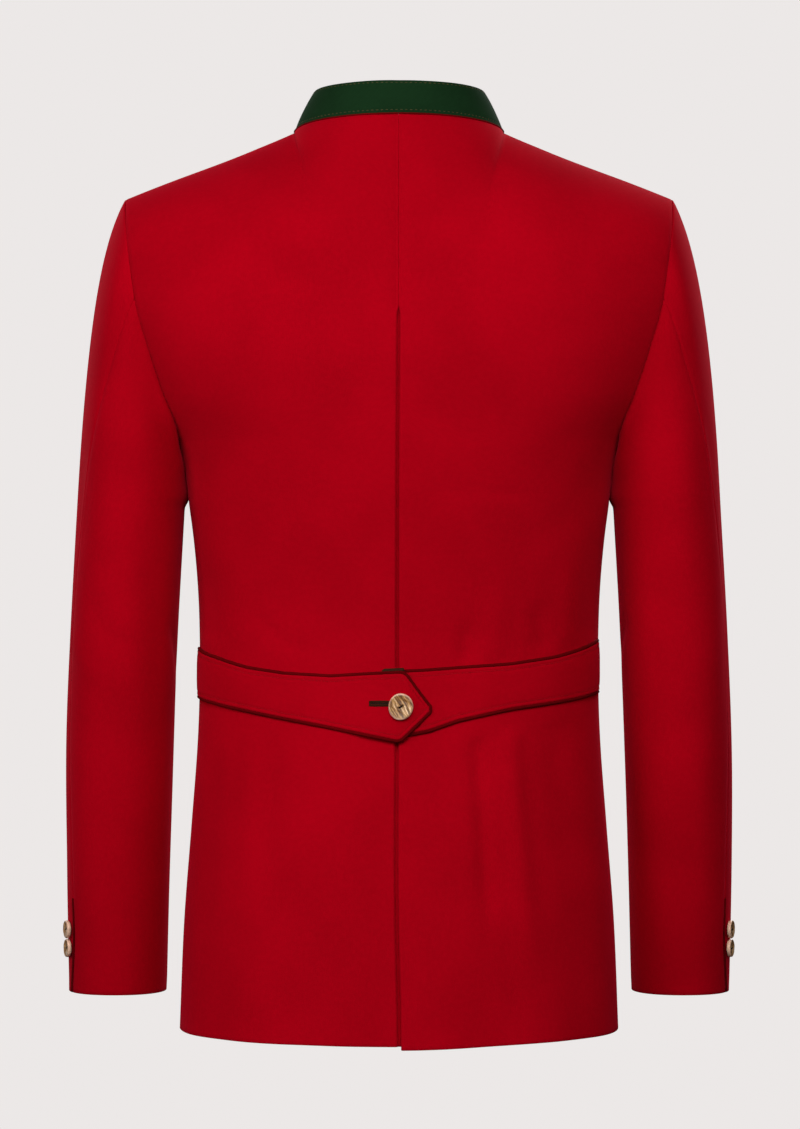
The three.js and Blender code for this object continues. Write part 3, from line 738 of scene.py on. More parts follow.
def tube(path: Array, up: Array, radius: float, flat: float = 1.0, sides: int = 10) -> Skin:
    """A cord along a path, with round ends.

    A ring's point at angle a is the path's, plus up times r cos a, plus side times r sin a.

    Args:
        path: Points of its middle line.
        up: What it lies on faces this way at each point.
        radius: Its radius.
        flat: Its height as a share of its width.
        sides: Points round it.

    Returns:
        The closed mesh.
    """
    inset = 1.0 - np.array([0.0, 0.55, 0.85])  # how far the end rings stand past the path, in radii
    tangent = unit(np.gradient(path, axis=0))
    before = path[0] - tangent[0] * (radius * inset)[:, None]
    after = path[-1] + tangent[-1] * (radius * inset[::-1])[:, None]
    line = np.concatenate([before, path, after])
    shrink = radius * np.sqrt(1.0 - inset**2)
    width = np.concatenate([shrink, np.full(len(path), radius), shrink[::-1]])
    width = np.maximum(width, 0.02)
    facing, along = (np.pad(rows, ((3, 3), (0, 0)), mode="edge") for rows in (up, tangent))
    side = unit(np.cross(along, facing))
    facing = np.cross(side, along)
    turn = 2.0 * np.pi * np.arange(sides) / sides
    ring = facing[:, None] * (np.cos(turn) * flat)[:, None] + side[:, None] * np.sin(turn)[:, None]
    rings = line[:, None] + ring * width[:, None, None]
    run = np.concatenate([[0.0], np.cumsum(np.linalg.norm(np.diff(line, axis=0), axis=1))])
    girth = 6.0  # the way round, as the cloth on it is laid out
    round_it = np.broadcast_to(turn / (2.0 * np.pi), (len(line), sides)) * girth
    places = np.stack([round_it, np.broadcast_to(run[:, None], (len(line), sides))], axis=-1).reshape(-1, 2)
    return Skin(
        np.concatenate([rings.reshape(-1, 3), line[:1], line[-1:]]),
        [faces[:, ::-1] for faces in ring_faces(len(line), sides)],
        np.concatenate([places, [[0.0, 0.0], [0.0, run[-1]]]]),
    )


def stitches(middle: Array, along: Array, up: Array, radius: float, arch: float = 0.35) -> Skin:
    """Short round stitches, all in one mesh: each a bowed spindle on the cloth.

    A ring at share s of half the stitch lies at middle + along s + up arch (1 - s squared), with
    radius times the root of one less s to the fourth.

    Args:
        middle: Middle of each stitch, on the cloth's face.
        along: From each stitch's middle to its end.
        up: The cloth's normal at each stitch.
        radius: Radius of the thread.
        arch: How far a stitch's middle stands off the cloth, in radii.

    Returns:
        One mesh of closed stitches.
    """
    sides = 6
    share = np.array([-0.94, -0.55, 0.0, 0.55, 0.94])
    width = np.sqrt(1.0 - share**4) * radius
    side = unit(np.cross(along, up))
    turn = 2.0 * np.pi * np.arange(sides) / sides
    lift = radius * arch * (1.0 - share**2)
    line = middle[:, None] + along[:, None] * share[:, None] + up[:, None] * lift[:, None]
    ring = up[:, None] * np.cos(turn)[:, None] + side[:, None] * np.sin(turn)[:, None]
    rings = line[:, :, None] + ring[:, None] * width[None, :, None, None]
    count = len(middle)
    block = len(share) * sides
    poles = np.stack([middle - along, middle + along], axis=1)
    each = np.concatenate([rings.reshape(count, block, 3), poles], axis=1)
    shift = (np.arange(count) * (block + 2))[:, None, None]
    blocks = [part[None, :, ::-1] + shift for part in ring_faces(len(share), sides)]
    faces = [part.reshape(-1, part.shape[-1]) for part in blocks]
    flat = each.reshape(-1, 3)
    return Skin(flat, faces, flat[:, [0, 2]])


def make(name: str, skin: Skin, finish: Material, slot: str, *nodes: str) -> Piece:
    """Puts a mesh in the scene as a piece that rides on the jacket.

    Args:
        name: The piece's name.
        skin: Its mesh.
        finish: Its material.
        slot: The record's material slot for it; not used.
        nodes: Solids that it stands for.

    Returns:
        The new object.
    """
    mesh = bpy.data.meshes.new(name)
    faces = [face for part in skin.faces for face in part.tolist()]
    mesh.from_pydata((skin.points * MM).tolist(), [], faces)
    corners = np.empty(len(mesh.loops), dtype=np.int32)
    mesh.loops.foreach_get("vertex_index", corners)
    places = mesh.uv_layers.new(name="cloth")
    places.data.foreach_set("uv", (skin.places[corners] * MM).astype(np.float32).ravel())
    mesh.polygons.foreach_set("use_smooth", np.ones(len(mesh.polygons), dtype=bool))
    mesh.update()
    mesh.materials.append(finish)
    piece = bpy.data.objects.new(name, mesh)
    bpy.context.scene.collection.objects.link(piece)
    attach(piece, BODY)
    if nodes:
        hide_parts(*nodes)
    log.info("%s: %d faces", name, len(mesh.polygons))
    return piece


# ---------- Finishes ----------
class Tree:
    """A material's node tree, built with short calls."""

    def __init__(self, name: str) -> None:
        """Starts a material that holds one Principled BSDF.

        Args:
            name: The material's name.
        """
        self.material = bpy.data.materials.new(name)
        self.material.use_nodes = True
        self.nodes = self.material.node_tree.nodes
        self.links = self.material.node_tree.links
        self.shader = self.nodes["Principled BSDF"]

    def add(self, kind: str, settings: dict[str, object] | None = None, **inputs: object) -> Node:
        """Adds a node.

        Args:
            kind: The node's type name, less its ShaderNode prefix.
            settings: The node's own settings by name.
            inputs: Values or sockets for its inputs, named as the inputs are with _ for a space.

        Returns:
            The node.
        """
        node = self.nodes.new("ShaderNode" + kind)
        for name, value in (settings or {}).items():
            setattr(node, name, value)
        for name, value in inputs.items():
            self.feed(node, name.replace("_", " "), value)
        return node

    def feed(self, node: Node, name: str | int, value: object) -> None:
        """Gives an input a value, or links a socket to it.

        Args:
            node: The node.
            name: The input's name or number.
            value: The value or the socket.
        """
        if isinstance(value, Socket):
            self.links.new(value, node.inputs[name])
        else:
            node.inputs[name].default_value = value

    def coordinates(self, kind: str, scale: Sequence[float], turn: Sequence[float] = (0, 0, 0)) -> Socket:
        """Object or UV coordinates, turned and then scaled.

        Args:
            kind: Object or UV.
            scale: How much each axis is scaled.
            turn: How far it is turned round each axis, in degrees.

        Returns:
            The coordinates' socket.
        """
        source = self.add("TexCoord")
        turned = self.add("Mapping", Vector=source.outputs[kind])
        turned.inputs["Rotation"].default_value = [math.radians(angle) for angle in turn]
        return self.add("Mapping", Vector=turned.outputs["Vector"], Scale=scale).outputs["Vector"]

    def noise(self, vector: Socket, scale: float, detail: float, rough: float = 0.5) -> Socket:
        """The value of a noise texture."""
        return self.add("TexNoise", Vector=vector, Scale=scale, Detail=detail, Roughness=rough).outputs["Fac"]

    def maths(self, operation: str, first: object, second: object = 0.5) -> Socket:
        """The result of a Math node.

        Args:
            operation: The node's operation.
            first: Its first input.
            second: Its second input.

        Returns:
            The result's socket.
        """
        node = self.add("Math", {"operation": operation})
        self.feed(node, 0, first)
        self.feed(node, 1, second)
        return node.outputs["Value"]

    def spread(self, value: Socket, low: float, high: float) -> Socket:
        """A value's stretch from low to high as 0 to 1, eased and held at both ends.

        Args:
            value: The value's socket.
            low: What becomes 0.
            high: What becomes 1.

        Returns:
            The result's socket.
        """
        node = self.add("MapRange", {"interpolation_type": "SMOOTHSTEP"}, Value=value)
        self.feed(node, "From Min", low)
        self.feed(node, "From Max", high)
        return node.outputs["Result"]

    def mix(self, share: object, first: object, second: object) -> Socket:
        """A mix of two colours by a share.

        Args:
            share: How much there is of the second colour.
            first: The first colour.
            second: The second colour.

        Returns:
            The mix's socket.
        """
        node = self.add("Mix", {"data_type": "RGBA"})
        for name, value in (("Factor_Float", share), ("A_Color", first), ("B_Color", second)):
            index = next(i for i, socket in enumerate(node.inputs) if socket.identifier == name)
            value = (*value, 1.0) if isinstance(value, tuple) else value
            self.feed(node, index, value)
        return next(socket for socket in node.outputs if socket.identifier == "Result_Color")

    def bump(self, height: Socket, depth: float, strength: float, under: object = None) -> Socket:
        """A bump of a depth in metres, on top of another one where that is given.

        Args:
            height: The socket that it follows.
            depth: Its depth.
            strength: Its strength.
            under: The normal that it lies on.

        Returns:
            The normal's socket.
        """
        node = self.add("Bump", Height=height, Distance=depth, Strength=strength)
        if under is not None:
            self.feed(node, "Normal", under)
        return node.outputs["Normal"]

    def finish(self, **inputs: object) -> Material:
        """Sets the shader's inputs and gives the material.

        Args:
            inputs: Values or sockets by input, named with _ for a space.

        Returns:
            The material.
        """
        for name, value in inputs.items():
            value = (*value, 1.0) if isinstance(value, tuple) and len(value) == 3 else value
            self.feed(self.shader, name.replace("_", " "), value)
        return self.material


@dataclass(frozen=True)
class MilledWool:
    """Woven wool milled until its nap all but hides the weave.

    Attributes:
        name: The material's name.
        colour: Its main colour.
        shade: The colour of its thinner places.
        sheen: How much its nap lights up at a glance.
        sheen_tint: The nap's colour there.
        thread: Pitch of the weave under the nap, in millimetres.
    """

    name: str
    colour: Colour
    shade: Colour
    sheen: float
    sheen_tint: Colour
    thread: float = 1.1

    def build(self) -> Material:
        """Two noises tint it; its relief is nap and felted clumps over a faint plain weave.

        Returns:
            The material.
        """
        tree = Tree(self.name)
        place = tree.coordinates("UV", (1, 1, 1))
        broad = tree.noise(tree.coordinates("Object", (1, 1, 1)), 14.0, 3.0)
        felted = tree.noise(place, 260.0, 3.0, 0.6)
        nap = tree.noise(tree.coordinates("UV", (1.0, 0.55, 1)), 1500.0, 4.0, 0.65)
        bands = 2.0 * math.pi / (20.0 * self.thread * MM)
        warp = tree.add("TexWave", {"bands_direction": "X"}, Vector=place, Scale=bands, Distortion=1.5)
        weft = tree.add("TexWave", {"bands_direction": "Y"}, Vector=place, Scale=bands, Distortion=1.5)
        weave = tree.maths("MULTIPLY", warp.outputs["Fac"], weft.outputs["Fac"])
        tint = tree.maths("MULTIPLY_ADD", tree.spread(broad, 0.3, 0.7), 0.55)
        tint.node.inputs[2].default_value = 0.0
        mottled = tree.maths("ADD", tint, tree.maths("MULTIPLY", tree.spread(felted, 0.35, 0.7), 0.3))
        fibres = tree.maths("ADD", mottled, tree.maths("MULTIPLY", tree.spread(nap, 0.3, 0.7), 0.25))
        normal = tree.bump(weave, 0.00012, 0.35)
        normal = tree.bump(felted, 0.0005, 0.16, normal)
        normal = tree.bump(nap, 0.00022, 0.45, normal)
        return tree.finish(
            Base_Color=tree.mix(fibres, self.shade, self.colour),
            Normal=normal,
            Roughness=0.92,
            Specular_IOR_Level=0.02,
            Sheen_Weight=self.sheen,
            Sheen_Roughness=0.42,
            Sheen_Tint=self.sheen_tint,
        )


@dataclass(frozen=True)
class StagHorn:
    """Polished antler: cream at the rim, golden and brown along slanted ridges.

    Attributes:
        name: The material's name.
        slant: Degrees of the ridges from upright.
        dark: Colour of the ridges' troughs.
        gold: Colour of the ridges.
        pale: Colour of their crests.
        rim: Colour of the button's rim.
    """

    name: str = "stag_horn"
    slant: float = -28.0
    dark: Colour = (0.14, 0.045, 0.008)
    gold: Colour = (0.64, 0.33, 0.11)
    pale: Colour = (1.0, 0.74, 0.47)
    rim: Colour = (1.0, 0.64, 0.46)

    def build(self) -> Material:
        """Noise stretched along the slant colours it; distance from the middle lightens its rim.

        Returns:
            The material.
        """
        tree = Tree(self.name)
        place = tree.coordinates("UV", (620.0, 90.0, 1), (0, 0, self.slant))
        grain = tree.noise(place, 1.0, 4.0, 0.6)
        fine = tree.noise(tree.coordinates("UV", (1, 1, 1)), 2600.0, 2.0)
        streak = tree.spread(grain, 0.42, 0.58)
        pale = tree.spread(grain, 0.57, 0.66)
        middle = tree.add("VectorMath", {"operation": "LENGTH"})
        tree.feed(middle, 0, tree.coordinates("UV", (1, 1, 1)))
        rim = tree.spread(middle.outputs["Value"], 0.0078, 0.0088)
        body = tree.mix(streak, self.dark, self.gold)
        body = tree.mix(pale, body, self.pale)
        body = tree.mix(tree.maths("MULTIPLY", rim, 0.85), body, self.rim)
        relief = tree.maths("ADD", grain, tree.maths("MULTIPLY", fine, 0.15))
        return tree.finish(
            Base_Color=body,
            Normal=tree.bump(relief, 0.0007, 0.8),
            Roughness=0.42,
            Specular_IOR_Level=0.5,
            Coat_Weight=0.15,
            Coat_Roughness=0.25,
        )


@dataclass(frozen=True)
class Thread:
    """Twisted sewing thread.

    Attributes:
        name: The material's name.
        colour: Its main colour.
        shade: The colour between its plies.
    """

    name: str
    colour: Colour
    shade: Colour

    def build(self) -> Material:
        """A noise finer than the thread mixes its two colours and gives its relief.

        Returns:
            The material.
        """
        tree = Tree(self.name)
        fibre = tree.noise(tree.coordinates("Object", (1, 1, 1)), 3200.0, 2.0)
        return tree.finish(
            Base_Color=tree.mix(tree.spread(fibre, 0.3, 0.7), self.shade, self.colour),
            Normal=tree.bump(fibre, 0.0002, 0.5),
            Roughness=0.7,
            Specular_IOR_Level=0.1,
        )


@dataclass(frozen=True)
class Finishes:
    """Every finish of the jacket, built once.

    Attributes:
        wool: The red cloth.
        felt: The green cloth of the collar.
        piping: The dark red cloth of the belt's and collar's cords and the cuff edgings, dark enough to paint
            the shadow along them as well.
        horn: The buttons' horn.
        tan: The collar's pick stitch.
        red: The belt's topstitching.
        olive: The buttonholes' thread.
        dark: The buttons' thread, and the painted shade in the buttonholes' cuts.
    """

    wool: Material
    felt: Material
    piping: Material
    horn: Material
    tan: Material
    red: Material
    olive: Material
    dark: Material

    @staticmethod
    def build() -> "Finishes":
        """Builds all the materials.

        Returns:
            The finishes.
        """
        return Finishes(
            wool=MilledWool(
                "red_wool", (0.49, 0.0, 0.0085), (0.39, 0.0, 0.0065), 0.34, (1.0, 0.02, 0.06)
            ).build(),
            felt=MilledWool(
                "green_wool", (0.009, 0.034, 0.0115), (0.006, 0.022, 0.0075), 0.05, (0.5, 0.8, 0.55), 0.9
            ).build(),
            # Dark red cord cloth that also paints the shadow along the belt's edges, under the collar and in
            # the cuff vents: painted shade.
            piping=MilledWool(
                "dark_piping", (0.16, 0.001, 0.003), (0.09, 0.001, 0.002), 0.02, (0.8, 0.2, 0.15), 0.7
            ).build(),
            horn=StagHorn().build(),
            tan=Thread("tan_thread", (0.17, 0.115, 0.045), (0.07, 0.045, 0.018)).build(),
            red=Thread("red_thread", (0.5, 0.004, 0.012), (0.3, 0.002, 0.006)).build(),
            olive=Thread("olive_thread", (0.05, 0.016, 0.004), (0.02, 0.006, 0.002)).build(),
            # Also the painted shade in the buttonholes' cuts.
            dark=Thread("dark_thread_and_slit_shade", (0.02, 0.012, 0.008), (0.006, 0.004, 0.003)).build(),
        )


# ---------- The cut pieces' forms ----------
BACK_CENTRE = (-252, -232, -210, -187, -163, -137, -110)
BACK_EDGE = (-252, -247, -234, -213, -182, -147, -110)
BACK_ANGLE = (85, 76.5, 70.8, 68.4, 67.9, 69, 70.8)
FRONT_EDGE = (-252, -248, -236, -215, -183, -148, -110)
FRONT_ANGLE = (85, 94.5, 103.5, 110, 112.5, 112.5, 111)

# Creases by panel, across from the centre line and up, as the cloth hangs when worn.
BACK_CREASES = {
    Side.LEFT: (
        Crease((102, -490), (104, -622), -1.5, 8.0, 1.5),
        Crease((117, -486), (121, -600), 1.2, 8.0),
        Crease((68, -500), (72, -640), 0.9, 14.0),
        Crease((44, -520), (42, -690), -0.7, 12.0),
        Crease((146, -500), (156, -650), -1.4, 9.0),
        Crease((150, -418), (152, -350), -1.5, 8.0),
        Crease((128, -416), (124, -360), 1.0, 10.0),
        Crease((78, -418), (112, -392), -0.9, 6.0, 2.0),
        Crease((172, -262), (120, -338), -0.9, 14.0, 6.0),
        Crease((150, -150), (96, -205), -0.5, 20.0),
    ),
    Side.RIGHT: (
        Crease((61, -480), (70, -622), -3.4, 7.5),
        Crease((87, -474), (101, -634), 3.5, 9.0, 2.0),
        Crease((126, -480), (136, -590), -1.8, 12.0, 3.0),
        Crease((150, -500), (160, -650), 0.8, 9.0),
        Crease((84, -640), (92, -710), -0.9, 9.0),
        Crease((18, -640), (14, -720), 0.8, 9.0),
        Crease((52, -434), (54, -398), -2.2, 8.0),
        Crease((76, -430), (78, -372), 1.2, 9.0),
        Crease((116, -426), (110, -386), -2.3, 8.0),
        Crease((134, -420), (134, -350), 1.5, 8.0),
        Crease((152, -410), (154, -330), -1.3, 7.0),
        Crease((54, -292), (96, -296), -0.5, 5.0),
        Crease((170, -262), (112, -330), -1.2, 14.0, -5.0),
    ),
}
FRONT_CREASES = {
    Side.LEFT: (
        Crease((150, -262), (84, -352), -1.6, 13.0, 6.0),
        Crease((128, -432), (138, -640), -2.0, 12.0, 4.0),
        Crease((92, -470), (98, -680), 1.5, 13.0),
        Crease((52, -400), (46, -520), -0.9, 12.0),
        Crease((138, -150), (84, -176), -0.7, 14.0),
        Crease((18, -288), (84, -318), -0.6, 9.0),
    ),
    Side.RIGHT: (
        Crease((146, -264), (92, -336), -1.4, 12.0, -5.0),
        Crease((132, -440), (146, -630), -2.2, 11.0, 3.0),
        Crease((84, -480), (88, -660), 1.3, 14.0, -4.0),
        Crease((60, -380), (52, -500), -1.0, 12.0),
        Crease((132, -146), (90, -180), -0.6, 14.0),
    ),
}
# Sleeve creases: across is millimetres round the sleeve from its outer side towards the back.
SLEEVE_CREASES = {
    Side.LEFT: (
        Crease((60, -372), (86, -418), -1.6, 9.0, 3.0),
        Crease((30, -404), (78, -446), 1.2, 11.0),
        Crease((96, -330), (112, -470), -1.6, 11.0, -4.0),
        Crease((40, -250), (46, -330), -1.3, 13.0, 3.0),
        Crease((58, -470), (64, -640), 0.9, 14.0),
        Crease((-60, -392), (-92, -430), -1.8, 8.0, 3.0),
        Crease((-70, -440), (-104, -470), -1.5, 8.0, -3.0),
        Crease((-40, -240), (-60, -340), -1.2, 13.0),
        Crease((-66, -540), (-60, -660), 0.9, 13.0),
        Crease((130, -400), (170, -436), -1.8, 8.0),
    ),
    Side.RIGHT: (
        Crease((50, -350), (70, -560), 1.5, 13.0, -3.0),
        Crease((92, -340), (104, -520), -2.0, 11.0, 4.0),
        Crease((24, -300), (32, -470), -1.2, 10.0),
        Crease((52, -240), (62, -318), -1.2, 12.0),
        Crease((78, -560), (84, -680), -1.0, 11.0),
        Crease((-58, -386), (-96, -420), -1.8, 8.0, -3.0),
        Crease((-62, -446), (-98, -462), -1.4, 8.0, 2.0),
        Crease((-44, -250), (-56, -350), -1.1, 13.0),
        Crease((132, -396), (172, -424), -1.6, 8.0),
    ),
}


def back_form(side: Side) -> Panel:
    """The back half on one side."""
    relief = Relief(BACK_CREASES[side], 0.3, 11 + side.value)
    return Panel(Half.BACK, BACK_CENTRE, BACK_EDGE, BACK_ANGLE, relief)


def front_form(side: Side) -> Panel:
    """The front half on one side."""
    relief = Relief(FRONT_CREASES[side], 0.35, 21 + side.value)
    return Panel(Half.FRONT, BACK_CENTRE, FRONT_EDGE, FRONT_ANGLE, relief)


def pulled_in(grid: Array, first: bool = False, last: bool = False, top: bool = False) -> Array:
    """A grid whose named edges are moved in along the cloth, to where a seam leaves them.

    Args:
        grid: Points by row and column.
        first: Whether the first column moves.
        last: Whether the last column moves.
        top: Whether the last row moves.

    Returns:
        The new grid.
    """
    moved = grid.copy()
    if first:
        moved[:, 0] += unit(grid[:, 1] - grid[:, 0]) * SEAM
    if last:
        moved[:, -1] += unit(grid[:, -2] - grid[:, -1]) * SEAM
    if top:
        moved[-1] += unit(moved[-2] - moved[-1]) * SEAM
    return moved


@dataclass(frozen=True)
class Cloth:
    """The flat size of a piece's cut.

    Attributes:
        width: Width of the cut piece, in metres.
        length: Its length.
        share: The share of that rectangle that the cut fills.
    """

    width: float
    length: float
    share: float

    def declare(self, piece: Piece, held: str, *rests_on: str) -> None:
        """Takes a piece as a sheet of this cut, and does nothing with it."""


@dataclass(frozen=True)
class Back:
    """The two backs with their pressed pleat edges, and the underlay of the pleat.

    Attributes:
        finishes: The jacket's finishes.
        pleat_top: Where the centre seam opens into the pleat.
        pleat_depth: How far a pressed edge runs back under its panel.
        open_top: Width of the pleat's gap where it starts.
        open_hem: Width of the gap at the hem.
        fold: Radius of the middle of the cloth in a pressed fold.
        sewn_fold: Radius of the plain turn where the centre seam is sewn.
        sewn_half: Half the wall's thickness there.
        sewn_gap: Width of the gap there, less than 0 where the edges press together.
        hang: How far the right back's corner at the pleat hangs below the left one's.
        hang_across: How far from the centre the hang reaches.
        hang_down: How far below the pleat's top it is full.
        sway_at: Heights where the pleat's line swings aside.
        sway: How far it swings there, to the wearer's left.
        cut: The flat size of one back.
        underlay_cut: The flat size of the underlay.
    """

    finishes: Finishes
    pleat_top: float = -147.0
    pleat_depth: float = 28.0
    open_top: float = 1.9
    open_hem: float = 2.5
    fold: float = 1.2
    sewn_fold: float = 0.65
    sewn_half: float = 0.35
    sewn_gap: float = -0.1
    hang: float = 2.8
    hang_across: float = 120.0
    hang_down: float = 500.0
    sway_at: tuple[float, ...] = (-728, -694, -640, -577, -460, -300, -147)
    sway: tuple[float, ...] = (-0.4, 0.0, 1.4, 2.0, 1.4, 1.1, 0.2)
    cut: Cloth = Cloth(0.29, 0.78, 0.86)
    underlay_cut: Cloth = Cloth(0.06, 0.6, 1.0)

    def folded(self, form: Panel, side: Side) -> Skin:
        """One back as a wall whose centre edge turns back under it.

        Above the pleat the turn tightens to a plain seam edge. In it the middle of the cloth
        turns half round at the fold's radius: across is the fold's place less radius times
        sin a, and depth is radius times one less cos a.

        Args:
            form: The back's form on the wearer's left.
            side: The side that it will lie on, which says where the pleat's line swings to.

        Returns:
            The closed mesh, on the wearer's left.
        """
        base = form.grid()
        normals = form.outward(base)
        z = base[:, :1, 2]
        sewn = smooth((z - self.pleat_top + 8.0) / 8.0)
        half = lerp(CLOTH / 2, self.sewn_half, sewn)
        radius = lerp(self.fold, self.sewn_fold, sewn)
        squeeze = lerp(1.0, 0.5, sewn)
        down = smooth((self.pleat_top - z) / (self.pleat_top - HEM_Z))
        gap = lerp(lerp(self.open_top, self.open_hem, down), self.sewn_gap, sewn) / 2
        sway = curve_through(self.sway_at, self.sway)(z) * side.value
        fold_x = gap + radius * squeeze + half + sway
        under = lerp(self.pleat_depth, 0.6, smooth((z - self.pleat_top + 40.0) / 30.0))
        steps = np.array([[1.5, 1.0, 0.5, 0.0]])
        near_half = lerp(half, CLOTH / 2, smooth(steps / 1.5))
        turn = np.radians(np.arange(20.0, 181.0, 20.0))[None, :]
        shares = np.array([[0.02, 0.25, 0.5, 0.75, 1.0]])
        lift = CLOTH / 2 - half
        across = [fold_x + steps, fold_x - radius * squeeze * np.sin(turn)]
        across.append(fold_x + under * shares)
        depth = [-(CLOTH / 2 - near_half), radius * (1.0 - np.cos(turn)) - lift]
        depth.append(np.broadcast_to(2.0 * radius - lift, (len(z), shares.shape[1])))
        x = np.concatenate(across, axis=1)
        deep = np.concatenate(depth, axis=1)
        columns = at_distance(base, x)
        rows = np.arange(len(base))[:, None]
        edge = sample(base, rows, columns) - sample(normals, rows, columns) * deep[..., None]
        face = base[:, :3:-1]
        grid = np.concatenate([face, edge], axis=1)
        near = smooth(1.0 - grid[..., 0] / self.hang_across)
        hang = self.hang * near * smooth((self.pleat_top - z) / self.hang_down)
        grid[..., 2] -= hang if side is Side.RIGHT else 0.0
        plain = np.full(face.shape[:2], CLOTH)
        rest = np.broadcast_to(half * 2.0, (len(z), turn.shape[1] + shares.shape[1]))
        thickness = np.concatenate([plain, near_half * 2.0, rest], axis=1)
        return shell(pulled_in(grid, first=True, top=True), thickness)

    def underlay(self, form: Panel) -> Skin:
        """The strip behind the pleat: the back's own surface moved in past the folded edges.

        Args:
            form: The back's form on the wearer's left.

        Returns:
            The closed mesh.
        """
        base = form.grid()
        low = base[:, 0, 2] <= self.pleat_top
        rows = np.flatnonzero(low)[:, None]
        share = np.linspace(1.0, -1.0, 17)[None, :]
        x = np.broadcast_to(np.abs(share) * self.pleat_depth, (len(rows), share.shape[1]))
        columns = at_distance(base[rows[:, 0]], x)
        normals = form.outward(base)
        depth = 2.0 * self.fold + CLOTH + GAP
        grid = sample(base, rows, columns) - sample(normals, rows, columns) * depth
        grid[..., 0] *= np.where(share < 0, -1.0, 1.0)
        return shell(grid, CLOTH)

    def build(self) -> list[Piece]:
        """Builds the backs and the underlay.

        Returns:
            The pieces, left, right and underlay.
        """
        pieces = []
        for side in Side:
            node = f"back_{side.word}"
            skin = self.folded(back_form(side), side).mirrored(side)
            piece = make(f"cloth_{node}", skin, self.finishes.wool, "red_wool", node)
            self.cut.declare(piece, "folded", f"cloth_front_{side.word}", "cloth_collar")
            pieces.append(piece)
        under = self.underlay(back_form(Side.LEFT))
        piece = make("cloth_pleat_underlay", under, self.finishes.wool, "red_wool", "pleat_underlay")
        self.underlay_cut.declare(piece, "hung", "cloth_back_left", "cloth_back_right")
        pieces.append(piece)
        return pieces


@dataclass(frozen=True)
class Fronts:
    """The two fronts, the left one lapped over the right.

    Attributes:
        finishes: The jacket's finishes.
        lap: How far each front runs past the centre front.
        lap_start: Distance of the lap's column nearest the centre.
        lap_columns: Columns of points on the lap.
        sink: How far the right front lies under the left one.
        ease: How far from the lap's edge the right front comes up again.
        cut: The flat size of one front.
    """

    finishes: Finishes
    lap: float = 18.0
    lap_start: float = 2.4
    lap_columns: int = 7
    sink: float = CLOTH + 2 * GAP
    ease: float = 45.0
    cut: Cloth = Cloth(0.27, 0.74, 0.86)

    def skin(self, form: Panel, sink: float) -> Skin:
        """A front and its lap, which mirrors the cloth on the near side of the centre line.

        Args:
            form: The front's form on the wearer's left.
            sink: How far its lap lies under the other front.

        Returns:
            The closed mesh.
        """
        base = form.grid()
        normals = form.outward(base)
        rows = np.arange(len(base))[:, None]
        across = np.linspace(self.lap - RIM, self.lap_start, self.lap_columns)
        columns = at_distance(base, np.broadcast_to(across, (len(base), self.lap_columns)))
        grid = np.concatenate([sample(base, rows, columns) * FLIP, base], axis=1)
        out = np.concatenate([sample(normals, rows, columns) * FLIP, normals], axis=1)
        share = 1.0 - smooth((grid[..., 0] - self.lap) / self.ease)
        grid = grid - out * (sink * share)[..., None]
        return shell(pulled_in(grid, last=True, top=True), CLOTH)

    def build(self) -> list[Piece]:
        """Builds both fronts.

        Returns:
            The pieces, left and right.
        """
        pieces = []
        for side, sink in ((Side.LEFT, 0.0), (Side.RIGHT, self.sink)):
            node = f"front_{side.word}"
            skin = self.skin(front_form(side), sink).mirrored(side)
            piece = make(f"cloth_{node}", skin, self.finishes.wool, "red_wool", node)
            self.cut.declare(piece, "draped", f"cloth_back_{side.word}", "cloth_collar")
            pieces.append(piece)
        return pieces


@dataclass(frozen=True)
class Armhole:
    """The armhole's edge: down the back from the shoulder tip, then up the front.

    Attributes:
        line: Points of the edge.
        normal: The body's normals there.
        out: The way out of the panels there.
        degrees: The place of each point, 180 for each half by its own length.
    """

    line: Array
    normal: Array
    out: Array
    degrees: Array

    @staticmethod
    def of(back: Panel, front: Panel) -> "Armhole":
        """Reads the edge off two plain panels.

        Args:
            back: The back's form.
            front: The front's form.

        Returns:
            The armhole on the wearer's left.
        """
        lines = []
        normals = []
        degrees = []
        for panel, order in ((back, -1), (front, 1)):
            grid = panel.plain_grid()
            edge = grid[panel.rows[0]:, -1][::order]
            lines.append(edge)
            normals.append(panel.outward(grid)[panel.rows[0]:, -1][::order])
            run = np.concatenate([[0.0], np.cumsum(np.linalg.norm(np.diff(edge, axis=0), axis=1))])
            degrees.append(180.0 * run / run[-1] + (0.0 if order < 0 else 180.0))
        line = np.concatenate(lines)
        normal = np.concatenate(normals)
        around = line[1:] - line[:-1]
        around = np.concatenate([around[:1], around[:-1] + around[1:], around[-1:]])
        return Armhole(line, normal, unit(np.cross(around, normal)), np.concatenate(degrees))

    def read(self, values: Array, degrees: Array) -> Array:
        """Reads one of its columns at angles round the sleeve.

        Args:
            values: A row of values for each of the edge's points.
            degrees: Angles round the sleeve.

        Returns:
            The values there.
        """
        wanted = np.mod(degrees, 360.0)
        columns = [np.interp(wanted, self.degrees, values[:, axis]) for axis in range(3)]
        return np.stack(columns, axis=-1)


def leave_edge(line: Array, normal: Array, out: Array, direction: Array, half: float) -> Array:
    """Where a wall starts when it leaves a cut edge: past it, and beside the cloth where it turns back.

    Args:
        line: Points of the edge.
        normal: The edge's normals.
        out: The way out of the cloth.
        direction: Which way the wall goes.
        half: Half the wall's thickness.

    Returns:
        The wall's first points.
    """
    outward = (direction * out).sum(axis=-1, keepdims=True)
    over = (direction * normal).sum(axis=-1, keepdims=True)
    turn = np.arctan2(np.abs(over), outward)
    aside = smooth((turn - math.radians(60)) / math.radians(40)) * np.sign(over)
    beside = aside * (CLOTH / 2 - SEAM + half * np.abs(np.cos(turn)))
    return line + out * (SEAM + half * np.sin(turn)) + normal * beside


